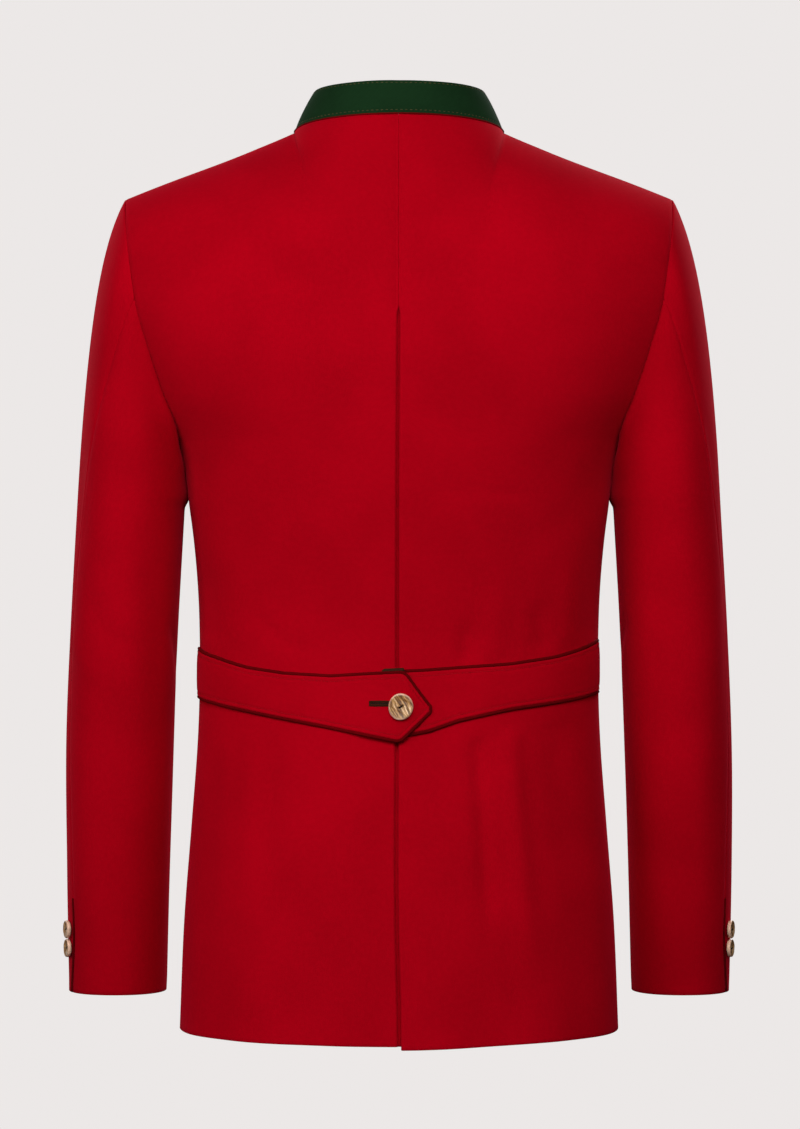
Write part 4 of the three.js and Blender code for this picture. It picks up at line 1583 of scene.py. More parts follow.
@dataclass(frozen=True)
class Sleeves:
    """Both two-piece sleeves, with the vent at the cuff end of the hind seam.

    Attributes:
        finishes: The jacket's finishes.
        heights: Heights of the level rings below the cap.
        x: The rings' middles across.
        y: The rings' middles in depth.
        half_x: Their half widths.
        half_y: Their half depths.
        seam_heights: Heights of the rows that place the seams.
        hind: Degrees of the hind seam, from the outer side towards the back.
        fore: Degrees of the fore seam.
        rest_at: Heights below the armhole where the inner side rests on the body.
        rest: How far the side swells there.
        fullness: Power of the rings' superellipses.
        vent_top: Where the vent ends.
        cap_out: How far out of the body the cap leaves the shoulder's tip, as a share.
        cap_drop: How far down it leaves there.
        cap_lean: How far it leans back or forward on its way.
        cap_pull: Share of its chord that the cap keeps its first direction for.
        tip_tuck: How far the cap's top is tucked into the shoulder's corner.
        tip_width: Degrees of the cap that the tuck reaches.
        rest_angle: Degrees of the side that rests on the body.
        rest_width: Degrees that the rest reaches.
        girth: Millimetres of cloth for one degree round the sleeve.
        rows: Steps up the arm and up the cap.
        top_cut: The flat size of a top sleeve.
        under_cut: The flat size of an under sleeve.
    """

    finishes: Finishes
    heights: tuple[float, ...] = (-700, -600, -500, -400, -300)
    x: tuple[float, ...] = (231.5, 230, 227.6, 223.3, 217.8)
    y: tuple[float, ...] = (-44, -27, -13, -5, -6)
    half_x: tuple[float, ...] = (39, 41, 42.6, 42.6, 42.6)
    half_y: tuple[float, ...] = (46, 52, 58, 65, 72)
    fullness: float = 2.15
    seam_heights: tuple[float, ...] = (-700, -655, -600, -420, -330, -260, -200, -130)
    hind: tuple[float, ...] = (34, 43, 42, 37, 47, 60, 72, 82)
    fore: tuple[float, ...] = (-150, -149, -147, -138, -128, -120, -114, -110)
    rest_at: tuple[float, ...] = (-304, -296, -284, -270, -254, -238, -226, -200)
    rest: tuple[float, ...] = (0, 3.3, 2.8, 3.3, 1.7, 1.7, 2.0, 0)
    rest_angle: float = 184.0
    rest_width: float = 50.0
    vent_top: float = -622.0
    cap_out: float = 0.47
    cap_drop: float = 0.83
    cap_lean: float = 0.15
    cap_pull: float = 0.66
    tip_tuck: float = 0.9
    tip_width: float = 6.0
    girth: float = 0.92
    rows: tuple[int, int] = (120, 64)
    top_cut: Cloth = Cloth(0.25, 0.69, 0.78)
    under_cut: Cloth = Cloth(0.19, 0.6, 0.78)

    def ring(self, degrees: Array, z: Array) -> Array:
        """Level superellipses: radius is (|cos/half x|^n + |sin/half y|^n)^(-1/n).

        Args:
            degrees: Angles from the outer side towards the back.
            z: Heights.

        Returns:
            The points on the wearer's left.
        """
        cos = np.cos(np.radians(degrees))
        sin = np.sin(np.radians(degrees))
        across = np.abs(cos / curve_through(self.heights, self.half_x)(z)) ** self.fullness
        along = np.abs(sin / curve_through(self.heights, self.half_y)(z)) ** self.fullness
        radius = (across + along) ** (-1.0 / self.fullness)
        middle_x = curve_through(self.heights, self.x)(z)
        middle_y = curve_through(self.heights, self.y)(z)
        return points(middle_x + radius * cos, middle_y + radius * sin, z)

    def surface(self, armhole: Armhole, between: Span, columns: int, relief: Relief) -> Array:
        """A sleeve piece: level rings up the arm, then cubics that rise into the armhole.

        Args:
            armhole: The edge that the cap is sewn to.
            between: Degrees of the piece at a height and a share across it.
            columns: Steps across the piece.
            relief: What moves the cloth off its plain form.

        Returns:
            Points by row, from the cuff up, and column.
        """
        arm, cap = self.rows
        share = np.linspace(0.0, 1.0, columns + 1)[None, :]
        arm_z = np.linspace(CUFF_Z, BICEPS_Z, arm)[:, None]
        degrees = between(arm_z, share)
        lower = self.ring(degrees, arm_z)
        rise = np.linspace(0.0, 1.0, cap + 1)[1:, None]
        cap_degrees = between(lerp(BICEPS_Z, self.seam_heights[-1], rise), share)
        foot = self.ring(cap_degrees, np.array(BICEPS_Z))
        outer = (1.0 + np.cos(np.radians(cap_degrees))) / 2.0
        lean = self.cap_lean * np.sin(np.radians(cap_degrees))
        leave = unit(points(self.cap_out * outer, lean, -lerp(1.0, self.cap_drop, outer)))
        edge = [armhole.read(values, cap_degrees) for values in (armhole.line, armhole.normal, armhole.out)]
        head = leave_edge(edge[0], unit(edge[1]), unit(edge[2]), leave, CLOTH / 2)
        head = head - unit(edge[2]) * (self.tip_tuck * bell(cap_degrees / self.tip_width))[..., None]
        chord = length(head - foot)
        below = unit(self.ring(cap_degrees, np.array(BICEPS_Z - 1.0)) - foot) * chord
        upper = hermite(head, leave * chord * self.cap_pull, foot, below, (1.0 - rise)[..., None])
        grid = np.concatenate([lower, upper])
        degrees = np.concatenate([degrees, cap_degrees])
        z = grid[..., 2]
        aside = (degrees - self.rest_angle) / self.rest_width
        side = curve_through(self.rest_at, self.rest)(z) * bell(aside)
        height = relief.height(degrees * self.girth, z) + side
        head_calm = np.linspace(len(grid) - 1.0, 0.0, len(grid))[:, None] / 8.0
        cuff_calm = smooth((z - CUFF_Z) / 12.0)
        seam_calm = smooth(np.minimum(share, 1.0 - share) / 0.03)
        height = height * smooth(head_calm) * cuff_calm * seam_calm
        return grid + grid_normals(grid) * height[..., None]

    def seam(self, which: Sequence[float]) -> Curve:
        """The angle of a seam by height."""
        return curve_through(self.seam_heights, which)

    def build(self) -> list[Piece]:
        """Builds the four sleeve pieces.

        Returns:
            The pieces.
        """
        hind = self.seam(self.hind)
        fore = self.seam(self.fore)
        parts = (
            ("top", 58, self.top_cut, lambda z, share: lerp(fore(z), hind(z), share)),
            ("under", 44, self.under_cut, lambda z, share: lerp(hind(z), fore(z) + 360.0, share)),
        )
        pieces = []
        for side in Side:
            armhole = Armhole.of(back_form(side), front_form(side))
            relief = Relief(SLEEVE_CREASES[side], 0.35, 31 + side.value)
            for part, columns, cut, between in parts:
                grid = self.surface(armhole, between, columns, relief)
                skin = shell(pulled_in(grid, first=True, last=True), CLOTH).mirrored(side)
                node = f"sleeve_{part}_{side.word}"
                piece = make(f"cloth_{node}", skin, self.finishes.wool, "red_wool", node)
                cut.declare(piece, "draped", f"cloth_back_{side.word}", f"cloth_front_{side.word}")
                pieces.append(piece)
        return pieces


# ---------- Collar ----------
def evenly(line: Array, pitch: float) -> Array:
    """Places along a line, as point numbers, at even steps with half a step left at each end.

    Args:
        line: Points of the line.
        pitch: The step aimed at.

    Returns:
        The places.
    """
    run = run_lengths(line[None], 1)[0]
    count = max(int(run[-1] / pitch), 1)
    return np.interp((np.arange(count) + 0.5) * run[-1] / count, run, np.arange(len(line)))


def read_along(values: Array, at: Array) -> Array:
    """Reads a row of vectors at point numbers, whole or not."""
    index = np.arange(len(values))
    return np.stack([np.interp(at, index, values[:, axis]) for axis in range(values.shape[1])], axis=-1)


def stitch_row(line: Array, normal: Array, pitch: float, reach: float, radius: float, seed: int = 0) -> Skin:
    """Stitches in a row on a face, a little uneven in length and direction.

    Args:
        line: Points of the row, on the face.
        normal: The face's normals there.
        pitch: From one stitch to the next.
        reach: A stitch's length.
        radius: Radius of the thread.
        seed: Seed of the unevenness.

    Returns:
        The stitches as one mesh.
    """
    at = evenly(line, pitch)
    up = unit(read_along(normal, at))
    along = unit(read_along(np.gradient(line, axis=0), at))
    draw = np.random.default_rng(seed)
    aside = np.cross(up, along) * draw.normal(0.0, 0.06, (len(at), 1))
    span = reach / 2 * (1.0 + draw.normal(0.0, 0.06, (len(at), 1)))
    return stitches(read_along(line, at), unit(along + aside) * span, up, radius)


@dataclass(frozen=True)
class Collar:
    """The stand collar of green wool, with a tan pick stitch along both edges.

    Attributes:
        finishes: The jacket's finishes.
        cloth: Its thickness.
        front_end: Degrees from the centre back where each front end is.
        angles: Degrees of the rows that give its form.
        rise: How far it rises there.
        lean: How far it leans in there.
        curl: How much further its top edge curls in there.
        rim: How far its rounded edges stand past the grid.
        low_row: Distance of the lower stitch row from the seam.
        high_row: Distance of the upper stitch row from the top edge.
        pulled: How deep a stitch row pulls the cloth in.
        pull_width: Half the width of that trough.
        pitch: From one stitch to the next.
        stitch: A stitch's length.
        thread: Radius of its thread.
        shadow_cord_radius: Radius of the dark cord in the seam that paints the shadow under the collar's
            edge.
        shadow_cord_lift: How far the middle of that cord lies off the cloth's face.
        columns: Steps round it.
        rows: Steps up it.
        cut: Its flat size.
    """

    finishes: Finishes
    cloth: float = 2.4
    front_end: float = 178.0
    angles: tuple[float, ...] = (0, 45, 90, 135, 168, 178)
    rise: tuple[float, ...] = (27, 28.5, 31, 31, 30, 22)
    lean: tuple[float, ...] = (7, 9, 11, 9.5, 7, 5)
    curl: tuple[float, ...] = (0, 1, 4.5, 2, 0.5, 0)
    rim: float = 0.9
    low_row: float = 2.6
    high_row: float = 1.5
    pulled: float = 0.22
    pull_width: float = 1.3
    pitch: float = 3.9
    stitch: float = 2.0
    thread: float = 0.24
    shadow_cord_radius: float = 0.85
    shadow_cord_lift: float = 0.15
    columns: int = 240
    rows: int = 34
    cut: Cloth = Cloth(0.54, 0.034, 0.95)

    def edge(self, turn: Array) -> tuple[Array, Array, Array]:
        """The neckline at angles from the centre back.

        Args:
            turn: The angles.

        Returns:
            Its points, the body's normals there and the way up out of the panels.
        """
        normals = []
        for panel in (back_form(Side.LEFT), front_form(Side.LEFT)):
            grid = panel.plain_grid()
            last = panel.neck_share * panel.columns
            column = np.clip((turn - panel.half.centre) / (90.0 - panel.half.centre), 0.0, 1.0) * last
            normals.append(sample(panel.outward(grid), np.full_like(column, len(grid) - 1), column))
        normal = unit(lerp(normals[0], normals[1], smooth((turn - 78.0) / 24.0)[:, None]))
        neck = NeckForm()
        along = neck.point(turn + 1.0) - neck.point(turn - 1.0)
        return neck.point(turn), normal, unit(np.cross(along, normal))

    def grid(self) -> Array:
        """The collar's middle: each column runs straight up and in from the neckline.

        Returns:
            Points by row, from the seam up, and column, from the wearer's left end round the back.
        """
        degrees = np.linspace(self.front_end, -self.front_end, self.columns + 1)
        turn = np.abs(degrees)
        rise = curve_through(self.angles, self.rise)(turn)
        lean = curve_through(self.angles, self.lean)(turn)
        sin = np.sin(np.radians(turn))
        cos = np.cos(np.radians(turn))
        direction = points(-sin * lean, -cos * lean, rise)
        start = leave_edge(*self.edge(turn), unit(direction), self.cloth / 2)
        reach = length(direction)
        low = (self.rim - RIM) / reach
        high = 1.0 - self.rim / reach
        up = np.linspace(0.0, 1.0, self.rows + 1)[:, None, None]
        share = lerp(low, high, up)
        curl = curve_through(self.angles, self.curl)(turn)[:, None] * points(-sin, -cos, 0.0)
        grid = start + direction * share + curl * share**2
        grid[..., 0] *= np.where(degrees < 0, -1.0, 1.0)
        run = run_lengths(grid, 1)
        wave = 0.22 * np.sin(run / 17.0) + 0.16 * np.sin(run / 9.5 + 1.3)
        along_up = run_lengths(grid, 0)
        top = along_up[-1:] - along_up
        low_trough = bell((along_up - self.low_row) / self.pull_width)
        high_trough = bell((top - self.high_row) / self.pull_width)
        height = wave * up[..., 0] - self.pulled * (low_trough + high_trough)
        return grid + grid_normals(grid) * height[..., None]

    def build(self) -> list[Piece]:
        """Builds the collar, its two rows of stitches and the dark cord in its seam, which paints the shadow
        under the collar's edge.

        Returns:
            The collar, the stitches and the shadow cord.
        """
        grid = self.grid()
        skin = shell(grid, self.cloth, self.rim)
        collar = make("cloth_collar", skin, self.finishes.felt, "green_wool", "collar")
        self.cut.declare(collar, "draped", "cloth_back_left", "cloth_back_right")
        normals = grid_normals(grid)
        face = grid + normals * (self.cloth / 2)
        height = run_lengths(face, 0)[-1].mean() / self.rows
        rows = []
        columns = np.linspace(3.0, self.columns - 3.0, 3 * self.columns)
        for row in (self.low_row / height, self.rows - self.high_row / height):
            at = np.full_like(columns, row)
            line, normal = sample(face, at, columns), sample(normals, at, columns)
            rows.append(stitch_row(line, normal, self.pitch, self.stitch, self.thread, seed=41))
        threads = make("collar_stitches", Skin.joined(rows), self.finishes.tan, "green_wool")
        return [collar, threads, self.shadow_cord()]

    def shadow_cord(self) -> Piece:
        """A thin dark cord in the seam that paints the shadow under the collar's lower edge: painted shadow.

        Returns:
            The cord.
        """
        degrees = np.linspace(self.front_end - 2.0, 2.0 - self.front_end, self.columns)
        line, normal, _ = self.edge(np.abs(degrees))
        flip = points(np.where(degrees < 0, -1.0, 1.0), 1.0, 1.0)
        path = line + normal * (CLOTH / 2 + self.shadow_cord_lift)
        # Dark red cord that paints the shadow line under the collar's edge.
        skin = tube(path * flip, normal * flip, self.shadow_cord_radius, 0.8)
        return make("cord_collar_seam_shadow", skin, self.finishes.piping, "dark_piping")


# ---------- Half belt ----------
@dataclass(frozen=True)
class BeltPiece:
    """One half belt piece by its edges, at degrees from the centre back on its own side.

    Attributes:
        side: The wearer's side that it comes from.
        angles: Degrees of its corners, from the free end to the side seam.
        top: Heights of its top edge there.
        bottom: Heights of its bottom edge there.
        laps: Whether it climbs over the other piece at the centre.
        cut: Its flat size.
    """

    side: Side
    angles: tuple[float, ...]
    top: tuple[float, ...]
    bottom: tuple[float, ...]
    laps: bool
    cut: Cloth

    def edges(self, degrees: Array) -> tuple[Array, Array]:
        """Heights of the top and the bottom edge, with their corners rounded."""
        top = lines_through(self.angles, self.top)(degrees)
        return top, lines_through(self.angles, self.bottom)(degrees)


BELT_PIECES = (
    BeltPiece(
        Side.LEFT,
        (-11.7, -7, -2.2, 0, 11.5, 25.9, 41.5, 54, 66.6, 82),
        (-463, -450, -436.2, -435.6, -436.8, -438.8, -437.1, -433, -425.5, -419.2),
        (-465, -474.5, -484, -488, -483.3, -477, -470.5, -465, -460, -456),
        True,
        Cloth(0.2, 0.054, 0.72),
    ),
    BeltPiece(
        Side.RIGHT,
        (-6, 0, 11.5, 22, 40.5, 55.5, 71.5, 79),
        (-435.5, -435, -434, -432.4, -429.8, -424.8, -416, -412.5),
        (-486, -484, -479.5, -471.8, -463, -458.5, -453.5, -451.8),
        False,
        Cloth(0.18, 0.054, 0.78),
    ),
)


@dataclass(frozen=True)
class HalfBelt:
    """The two-piece half belt with its edging cords, topstitching and buttonhole; the cords are wide and dark
    red to paint the shadow under the belt's edges as well.

    Attributes:
        finishes: The jacket's finishes.
        cloth: Its thickness.
        lift: Ease under it.
        cord: Radius of the belt's cord, wide enough to take in the painted shadow beside it.
        stitched: How far in from the edges the topstitching runs.
        pitch: From one topstitch to the next.
        stitch: A topstitch's length.
        thread: Radius of its thread.
        full: How full the cloth stands in the middle.
        edge_full: How much of it stands at once beside the edge.
        sunk: How deep the topstitching sinks.
        climb_at: Degrees where the upper piece starts to climb.
        climb_over: Degrees over which it climbs.
        degree: Millimetres round the back for one degree.
        hole_start: Degrees of the buttonhole's inner end.
        hole_end: Degrees of its end under the button.
        hole_z: Its height.
        fold_reach: How far above the buttonhole the under piece's fold starts.
        fold_radius: Radius of that fold.
        columns: Steps along a piece.
        rows: Steps up it.
    """

    finishes: Finishes
    cloth: float = 2.0
    lift: float = 0.2
    # Wide enough to paint the shadow beside the cord as well: painted shade.
    cord: float = 1.45
    stitched: float = 3.2
    pitch: float = 2.9
    stitch: float = 2.3
    thread: float = 0.26
    full: float = 0.5
    edge_full: float = 0.3
    sunk: float = 0.42
    climb_at: float = 10.0
    climb_over: float = 12.0
    degree: float = 1.84
    hole_start: float = 11.0
    hole_end: float = 1.5
    hole_z: float = -459.4
    fold_reach: float = 22.0
    fold_radius: float = 1.9
    columns: int = 130
    rows: int = 44

    def height(self, degrees: Array, laps: bool) -> Array:
        """How far the belt's middle lies off the back's: more where it laps the other piece.

        Args:
            degrees: Angles from the centre back.
            laps: Whether the piece laps the other one.

        Returns:
            The distances.
        """
        step = GAP + self.lift
        climb = (1.0 - smooth((degrees - self.climb_at) / self.climb_over)) * float(laps)
        return CLOTH / 2 + self.cloth / 2 + step + climb * (self.cloth + step)

    def over(self, degrees: Array, z: Array, height: Array | float) -> tuple[Array, Array]:
        """Points over the back panel without its creases.

        Args:
            degrees: Angles from the centre back, less than 0 past it.
            z: Heights.
            height: How far off the middle of the back's cloth.

        Returns:
            The points and the outward normals there.
        """
        panel = Panel(Half.BACK, BACK_CENTRE, BACK_EDGE, BACK_ANGLE)
        grid = panel.plain_grid()
        row = (z - HEM_Z) / (UNDERARM_Z - HEM_Z) * panel.rows[0]
        column = np.minimum(np.abs(degrees) / SIDE_SEAM, 1.0) * panel.columns
        normal = unit(sample(panel.outward(grid), row, column))
        point = sample(grid, row, column) + normal * np.asarray(height)[..., None]
        flip = points(np.where(np.asarray(degrees) < 0, -1.0, 1.0), 1.0, 1.0)
        return point * flip, normal * flip

    def strip(self, piece: BeltPiece) -> Array:
        """A belt piece's middle, sunk along its topstitching and a little full between.

        Args:
            piece: Its edges.

        Returns:
            Points by row, from its bottom edge up, and column, from the side seam inwards.
        """
        first = piece.angles[0] + 0.3
        degrees = np.linspace(piece.angles[-1] - 0.3, first, self.columns + 1)[None, :]
        top, bottom = piece.edges(degrees)
        share = np.linspace(0.0, 1.0, self.rows + 1)[:, None]
        z = lerp(bottom + RIM, top - RIM, share)
        inside = np.minimum(z - bottom, top - z)
        full = self.full * smooth(inside / 14.0) + self.edge_full * smooth(inside / 2.0)
        sunk = self.sunk * bell((inside - self.stitched) / 1.1)
        height = self.height(degrees, piece.laps) + full - sunk - self.edge_full
        return self.over(np.broadcast_to(degrees, z.shape), z, height)[0]

    def outline(self, piece: BeltPiece, off: float, drop: float) -> tuple[Array, Array]:
        """A line round a belt piece: along the top, round the free end and back along the bottom.

        Args:
            piece: Its edges.
            off: How far outside them, or inside where it is negative.
            drop: How far below the belt's middle the line runs.

        Returns:
            The points and the outward normals there.
        """
        degrees = np.linspace(piece.angles[-1] - 0.3, piece.angles[0], 3 * self.columns)
        top, bottom = piece.edges(degrees)
        count = 1 if piece.laps else 24
        end = np.linspace(top[-1], bottom[-1], count + 2)[1:-1]
        across = np.concatenate([degrees, np.full(count, degrees[-1]), degrees[::-1]]) * self.degree
        z = np.concatenate([top, end, bottom[::-1]])
        line = np.stack([across, z], axis=-1)
        along = unit(np.gradient(line, axis=0))
        moved = line + np.stack([along[:, 1], -along[:, 0]], axis=-1) * off
        kernel = np.array([1.0, 2.0, 3.0, 2.0, 1.0]) / 9.0
        rounded = [np.convolve(np.pad(moved[:, i], 2, mode="edge"), kernel, "valid") for i in range(2)]
        around = rounded[0] / self.degree
        height = self.height(around, piece.laps) - drop
        return self.over(around, rounded[1], height)

    def build(self) -> list[Piece]:
        """Builds both pieces with their piping, the topstitching and the buttonhole.

        Returns:
            All the pieces.
        """
        made = []
        rows = []
        for piece in BELT_PIECES:
            word = piece.side.word
            skin = shell(self.strip(piece), self.cloth).mirrored(piece.side)
            cloth = make(f"cloth_belt_{word}", skin, self.finishes.wool, "red_wool", f"belt_{word}")
            piece.cut.declare(cloth, "laid", "cloth_back_left", "cloth_back_right")
            line, normal = self.outline(piece, 1.1, 0.55)
            node = f"belt_piping_{word}"
            # The cord is the belt's edging and the painted shadow under it in one.
            cord = tube(line, normal, self.cord).mirrored(piece.side)
            made += [cloth, make(f"cord_{node}", cord, self.finishes.piping, "dark_piping", node)]
            if not piece.laps:
                made.append(self.end_loop(line, normal, piece.side))
            line, normal = self.outline(piece, -self.stitched, 0.0)
            line = line + normal * (self.cloth / 2 - 0.15)
            row = stitch_row(line, normal, self.pitch, self.stitch, self.thread, seed=51)
            rows.append(row.mirrored(piece.side))
        made.append(make("belt_topstitching", Skin.joined(rows), self.finishes.red, "red_wool"))
        return made + self.buttonhole()

    def end_loop(self, line: Array, normal: Array, side: Side) -> Piece:
        """The olive fold at the top of the under piece's end, which shows above the upper piece.

        Args:
            line: The under piece's outline.
            normal: The outward normals there.
            side: The side that the piece comes from.

        Returns:
            The fold.
        """
        shown = (line[:, 0] < 3.0) & (line[:, 2] > self.hole_z + self.fold_reach)
        up = normal[shown]
        skin = tube(line[shown] + up * 1.6 + UP * 0.9, up, self.fold_radius, 0.8).mirrored(side)
        return make("belt_end_fold", skin, self.finishes.olive, "dark_piping")

    def buttonhole(self) -> list[Piece]:
        """The worked buttonhole of the left piece, half hidden by the button.

        Returns:
            The stitches and the slit.
        """
        degrees = np.linspace(self.hole_start, self.hole_end, 60)
        height = self.height(degrees, True) + self.cloth / 2 + 0.45
        line, normal = self.over(degrees, np.full_like(degrees, self.hole_z), height)
        return WorkedHole("belt_buttonhole", self.finishes, 2.25).build(line, normal)


@dataclass(frozen=True)
class WorkedHole:
    """A worked buttonhole: close stitches across each lip, a bar at its end and a dark cord that paints the
    shade in its cut.

    Attributes:
        name: The piece's name.
        finishes: The jacket's finishes.
        reach: Length of a lip's stitches.
        pitch: From one stitch to the next.
        lip: Distance of the stitches' inner ends from the slit's middle.
        thread: Radius of the thread.
        arch: How far a stitch's middle stands off the cloth, in radii.
        bar: Stitches in the bar.
        slit: Radius of the dark cord that paints the shade in the buttonhole's cut.
    """

    name: str
    finishes: Finishes
    reach: float = 2.2
    pitch: float = 0.52
    lip: float = 0.25
    thread: float = 0.33
    arch: float = 0.6
    bar: int = 9
    slit: float = 0.42

    def build(self, line: Array, normal: Array) -> list[Piece]:
        """Builds the buttonhole on a line.

        Args:
            line: Points of the slit on the cloth's face, from its outer end.
            normal: The face's normals there.

        Returns:
            The stitches and the painted shade in the cut.
        """
        along = unit(np.gradient(line, axis=0))
        aside = unit(np.cross(normal, along))
        at = evenly(line, self.pitch)
        rows = []
        for sign in (-1.0, 1.0):
            middle = read_along(line + aside * (sign * (self.reach / 2 + self.lip)), at)
            draw = np.random.default_rng(61)
            span = self.reach / 2 * (1.0 + draw.normal(0.0, 0.05, (len(at), 1)))
            rows.append(self.threads(middle, read_along(aside, at) * span, read_along(normal, at)))
        bar = np.linspace(-1.0, 1.0, self.bar)[:, None] * self.reach * 0.85
        ends = line[:1] + aside[:1] * bar - along[:1] * 0.4
        first_along, first_normal = (np.repeat(values[:1], self.bar, axis=0) for values in (along, normal))
        rows.append(self.threads(ends, first_along * 0.95, first_normal))
        worked = make(self.name, Skin.joined(rows), self.finishes.olive, "dark_piping")
        # A dark cord in the cut: painted shade.
        skin = tube(line + normal * 0.05, normal, self.slit, 0.7)
        return [worked, make(f"{self.name}_slit", skin, self.finishes.dark, "dark_piping")]

    def threads(self, middle: Array, along: Array, up: Array) -> Skin:
        """Some of its stitches."""
        return stitches(middle, along, up, self.thread, self.arch)


# ---------- Buttons ----------
@dataclass(frozen=True)
class HornButton:
    """A two-hole button of stag horn, dished and a little uneven.

    Attributes:
        radius: Its radius.
        thick: Its thickness at the rim.
        spread: Distance between the middles of its holes.
        tilt: Degrees that the holes' line rises to the right.
        oval: How wide and how tall it is against its radius.
        seed: Seed of its unevenness.
        hole: Radius of a hole's middle and width of its eased edge.
        depth: How deep a hole goes.
        laid_out: The radius that the horn's colouring is laid out for.
    """

    radius: float
    thick: float
    spread: float = 3.5
    tilt: float = 25.0
    oval: tuple[float, float] = (0.97, 1.02)
    seed: int = 1
    hole: float = 0.55
    depth: float = 1.5
    laid_out: float = 9.2

    def frame(self, normal: Array) -> tuple[Array, Array]:
        """The directions up and to the right on the button's face."""
        top = unit(UP - normal * normal[2])
        return top, np.cross(top, normal)

    def skin(self, point: Array, normal: Array) -> Skin:
        """A lathe's rings whose face is dished, waved and pierced by two dimples.

        The face's height is the profile's own, less a bell round each hole, with a slanted
        wave of grain. The rim swings in and out by two slow sines.

        Args:
            point: The middle of its back.
            normal: Which way its face looks.

        Returns:
            The closed mesh.
        """
        draw = np.random.default_rng(self.seed)
        phase = draw.uniform(0.0, 2.0 * math.pi, 4)
        dish = np.linspace(0.03, 0.8, 34)
        edge = [0.86, 0.91, 0.95, 0.98, 1.0, 0.995, 0.96, 0.9, 0.6, 0.2]
        out = np.concatenate([dish, edge])
        dished = np.interp(dish, (0.0, 0.45, 0.8), (0.76, 0.8, 0.97))
        up = np.concatenate([dished, [1.0, 0.99, 0.93, 0.82, 0.6, 0.35, 0.1, 0.0, 0.0, 0.0]])
        turn = np.linspace(0.0, 2.0 * math.pi, 72, endpoint=False)
        swing = 1.0 + 0.012 * np.sin(2 * turn + phase[0]) + 0.008 * np.sin(3 * turn + phase[1])
        across = out[:, None] * np.cos(turn) * swing * self.radius * self.oval[0]
        upward = out[:, None] * np.sin(turn) * swing * self.radius * self.oval[1]
        height = np.broadcast_to(up[:, None] * self.thick, across.shape).copy()
        face = np.arange(len(out)) < len(dish) + 6
        slant = math.radians(self.tilt + 35.0)
        grain = across * math.cos(slant) + upward * math.sin(slant)
        wave = 0.13 * np.sin(grain * 1.25 + phase[2]) + 0.07 * np.sin(grain * 2.6 + phase[3])
        calm = smooth((1.0 - out) / 0.25)[:, None]
        lean = math.radians(self.tilt)
        pierced = np.zeros_like(across)
        for sign in (-0.5, 0.5):
            hole_x = sign * self.spread * math.cos(lean)
            hole_y = sign * self.spread * math.sin(lean)
            far = np.hypot(across - hole_x, upward - hole_y)
            pierced = pierced + self.depth * (1.0 - smooth((far - self.hole) / self.hole))
        height = height + np.where(face[:, None], wave * calm - pierced, 0.0)
        top, right = self.frame(normal)
        rings = point + across[..., None] * right + upward[..., None] * top + height[..., None] * normal
        poles = point + normal * np.array([[height[0].mean()], [0.0]])
        size = self.laid_out / self.radius
        places = np.stack([across * size, upward * size], axis=-1).reshape(-1, 2)
        places = np.concatenate([places, np.zeros((2, 2))])
        return Skin(np.concatenate([rings.reshape(-1, 3), poles]), ring_faces(*across.shape), places)

    def thread(self, point: Array, normal: Array) -> Skin:
        """Two strands from hole to hole.

        Args:
            point: The middle of the button's back.
            normal: Which way its face looks.

        Returns:
            Both strands as one mesh.
        """
        top, right = self.frame(normal)
        lean = math.radians(self.tilt)
        along = right * math.cos(lean) + top * math.sin(lean)
        aside = np.cross(normal, along)
        middle = point + normal * (self.thick * 0.78) + aside * np.array([[-0.3], [0.3]])
        reach = np.repeat(along[None] * (self.spread / 2 + 0.35), 2, axis=0)
        return stitches(middle, reach, np.repeat(normal[None], 2, axis=0), 0.34, 1.2)


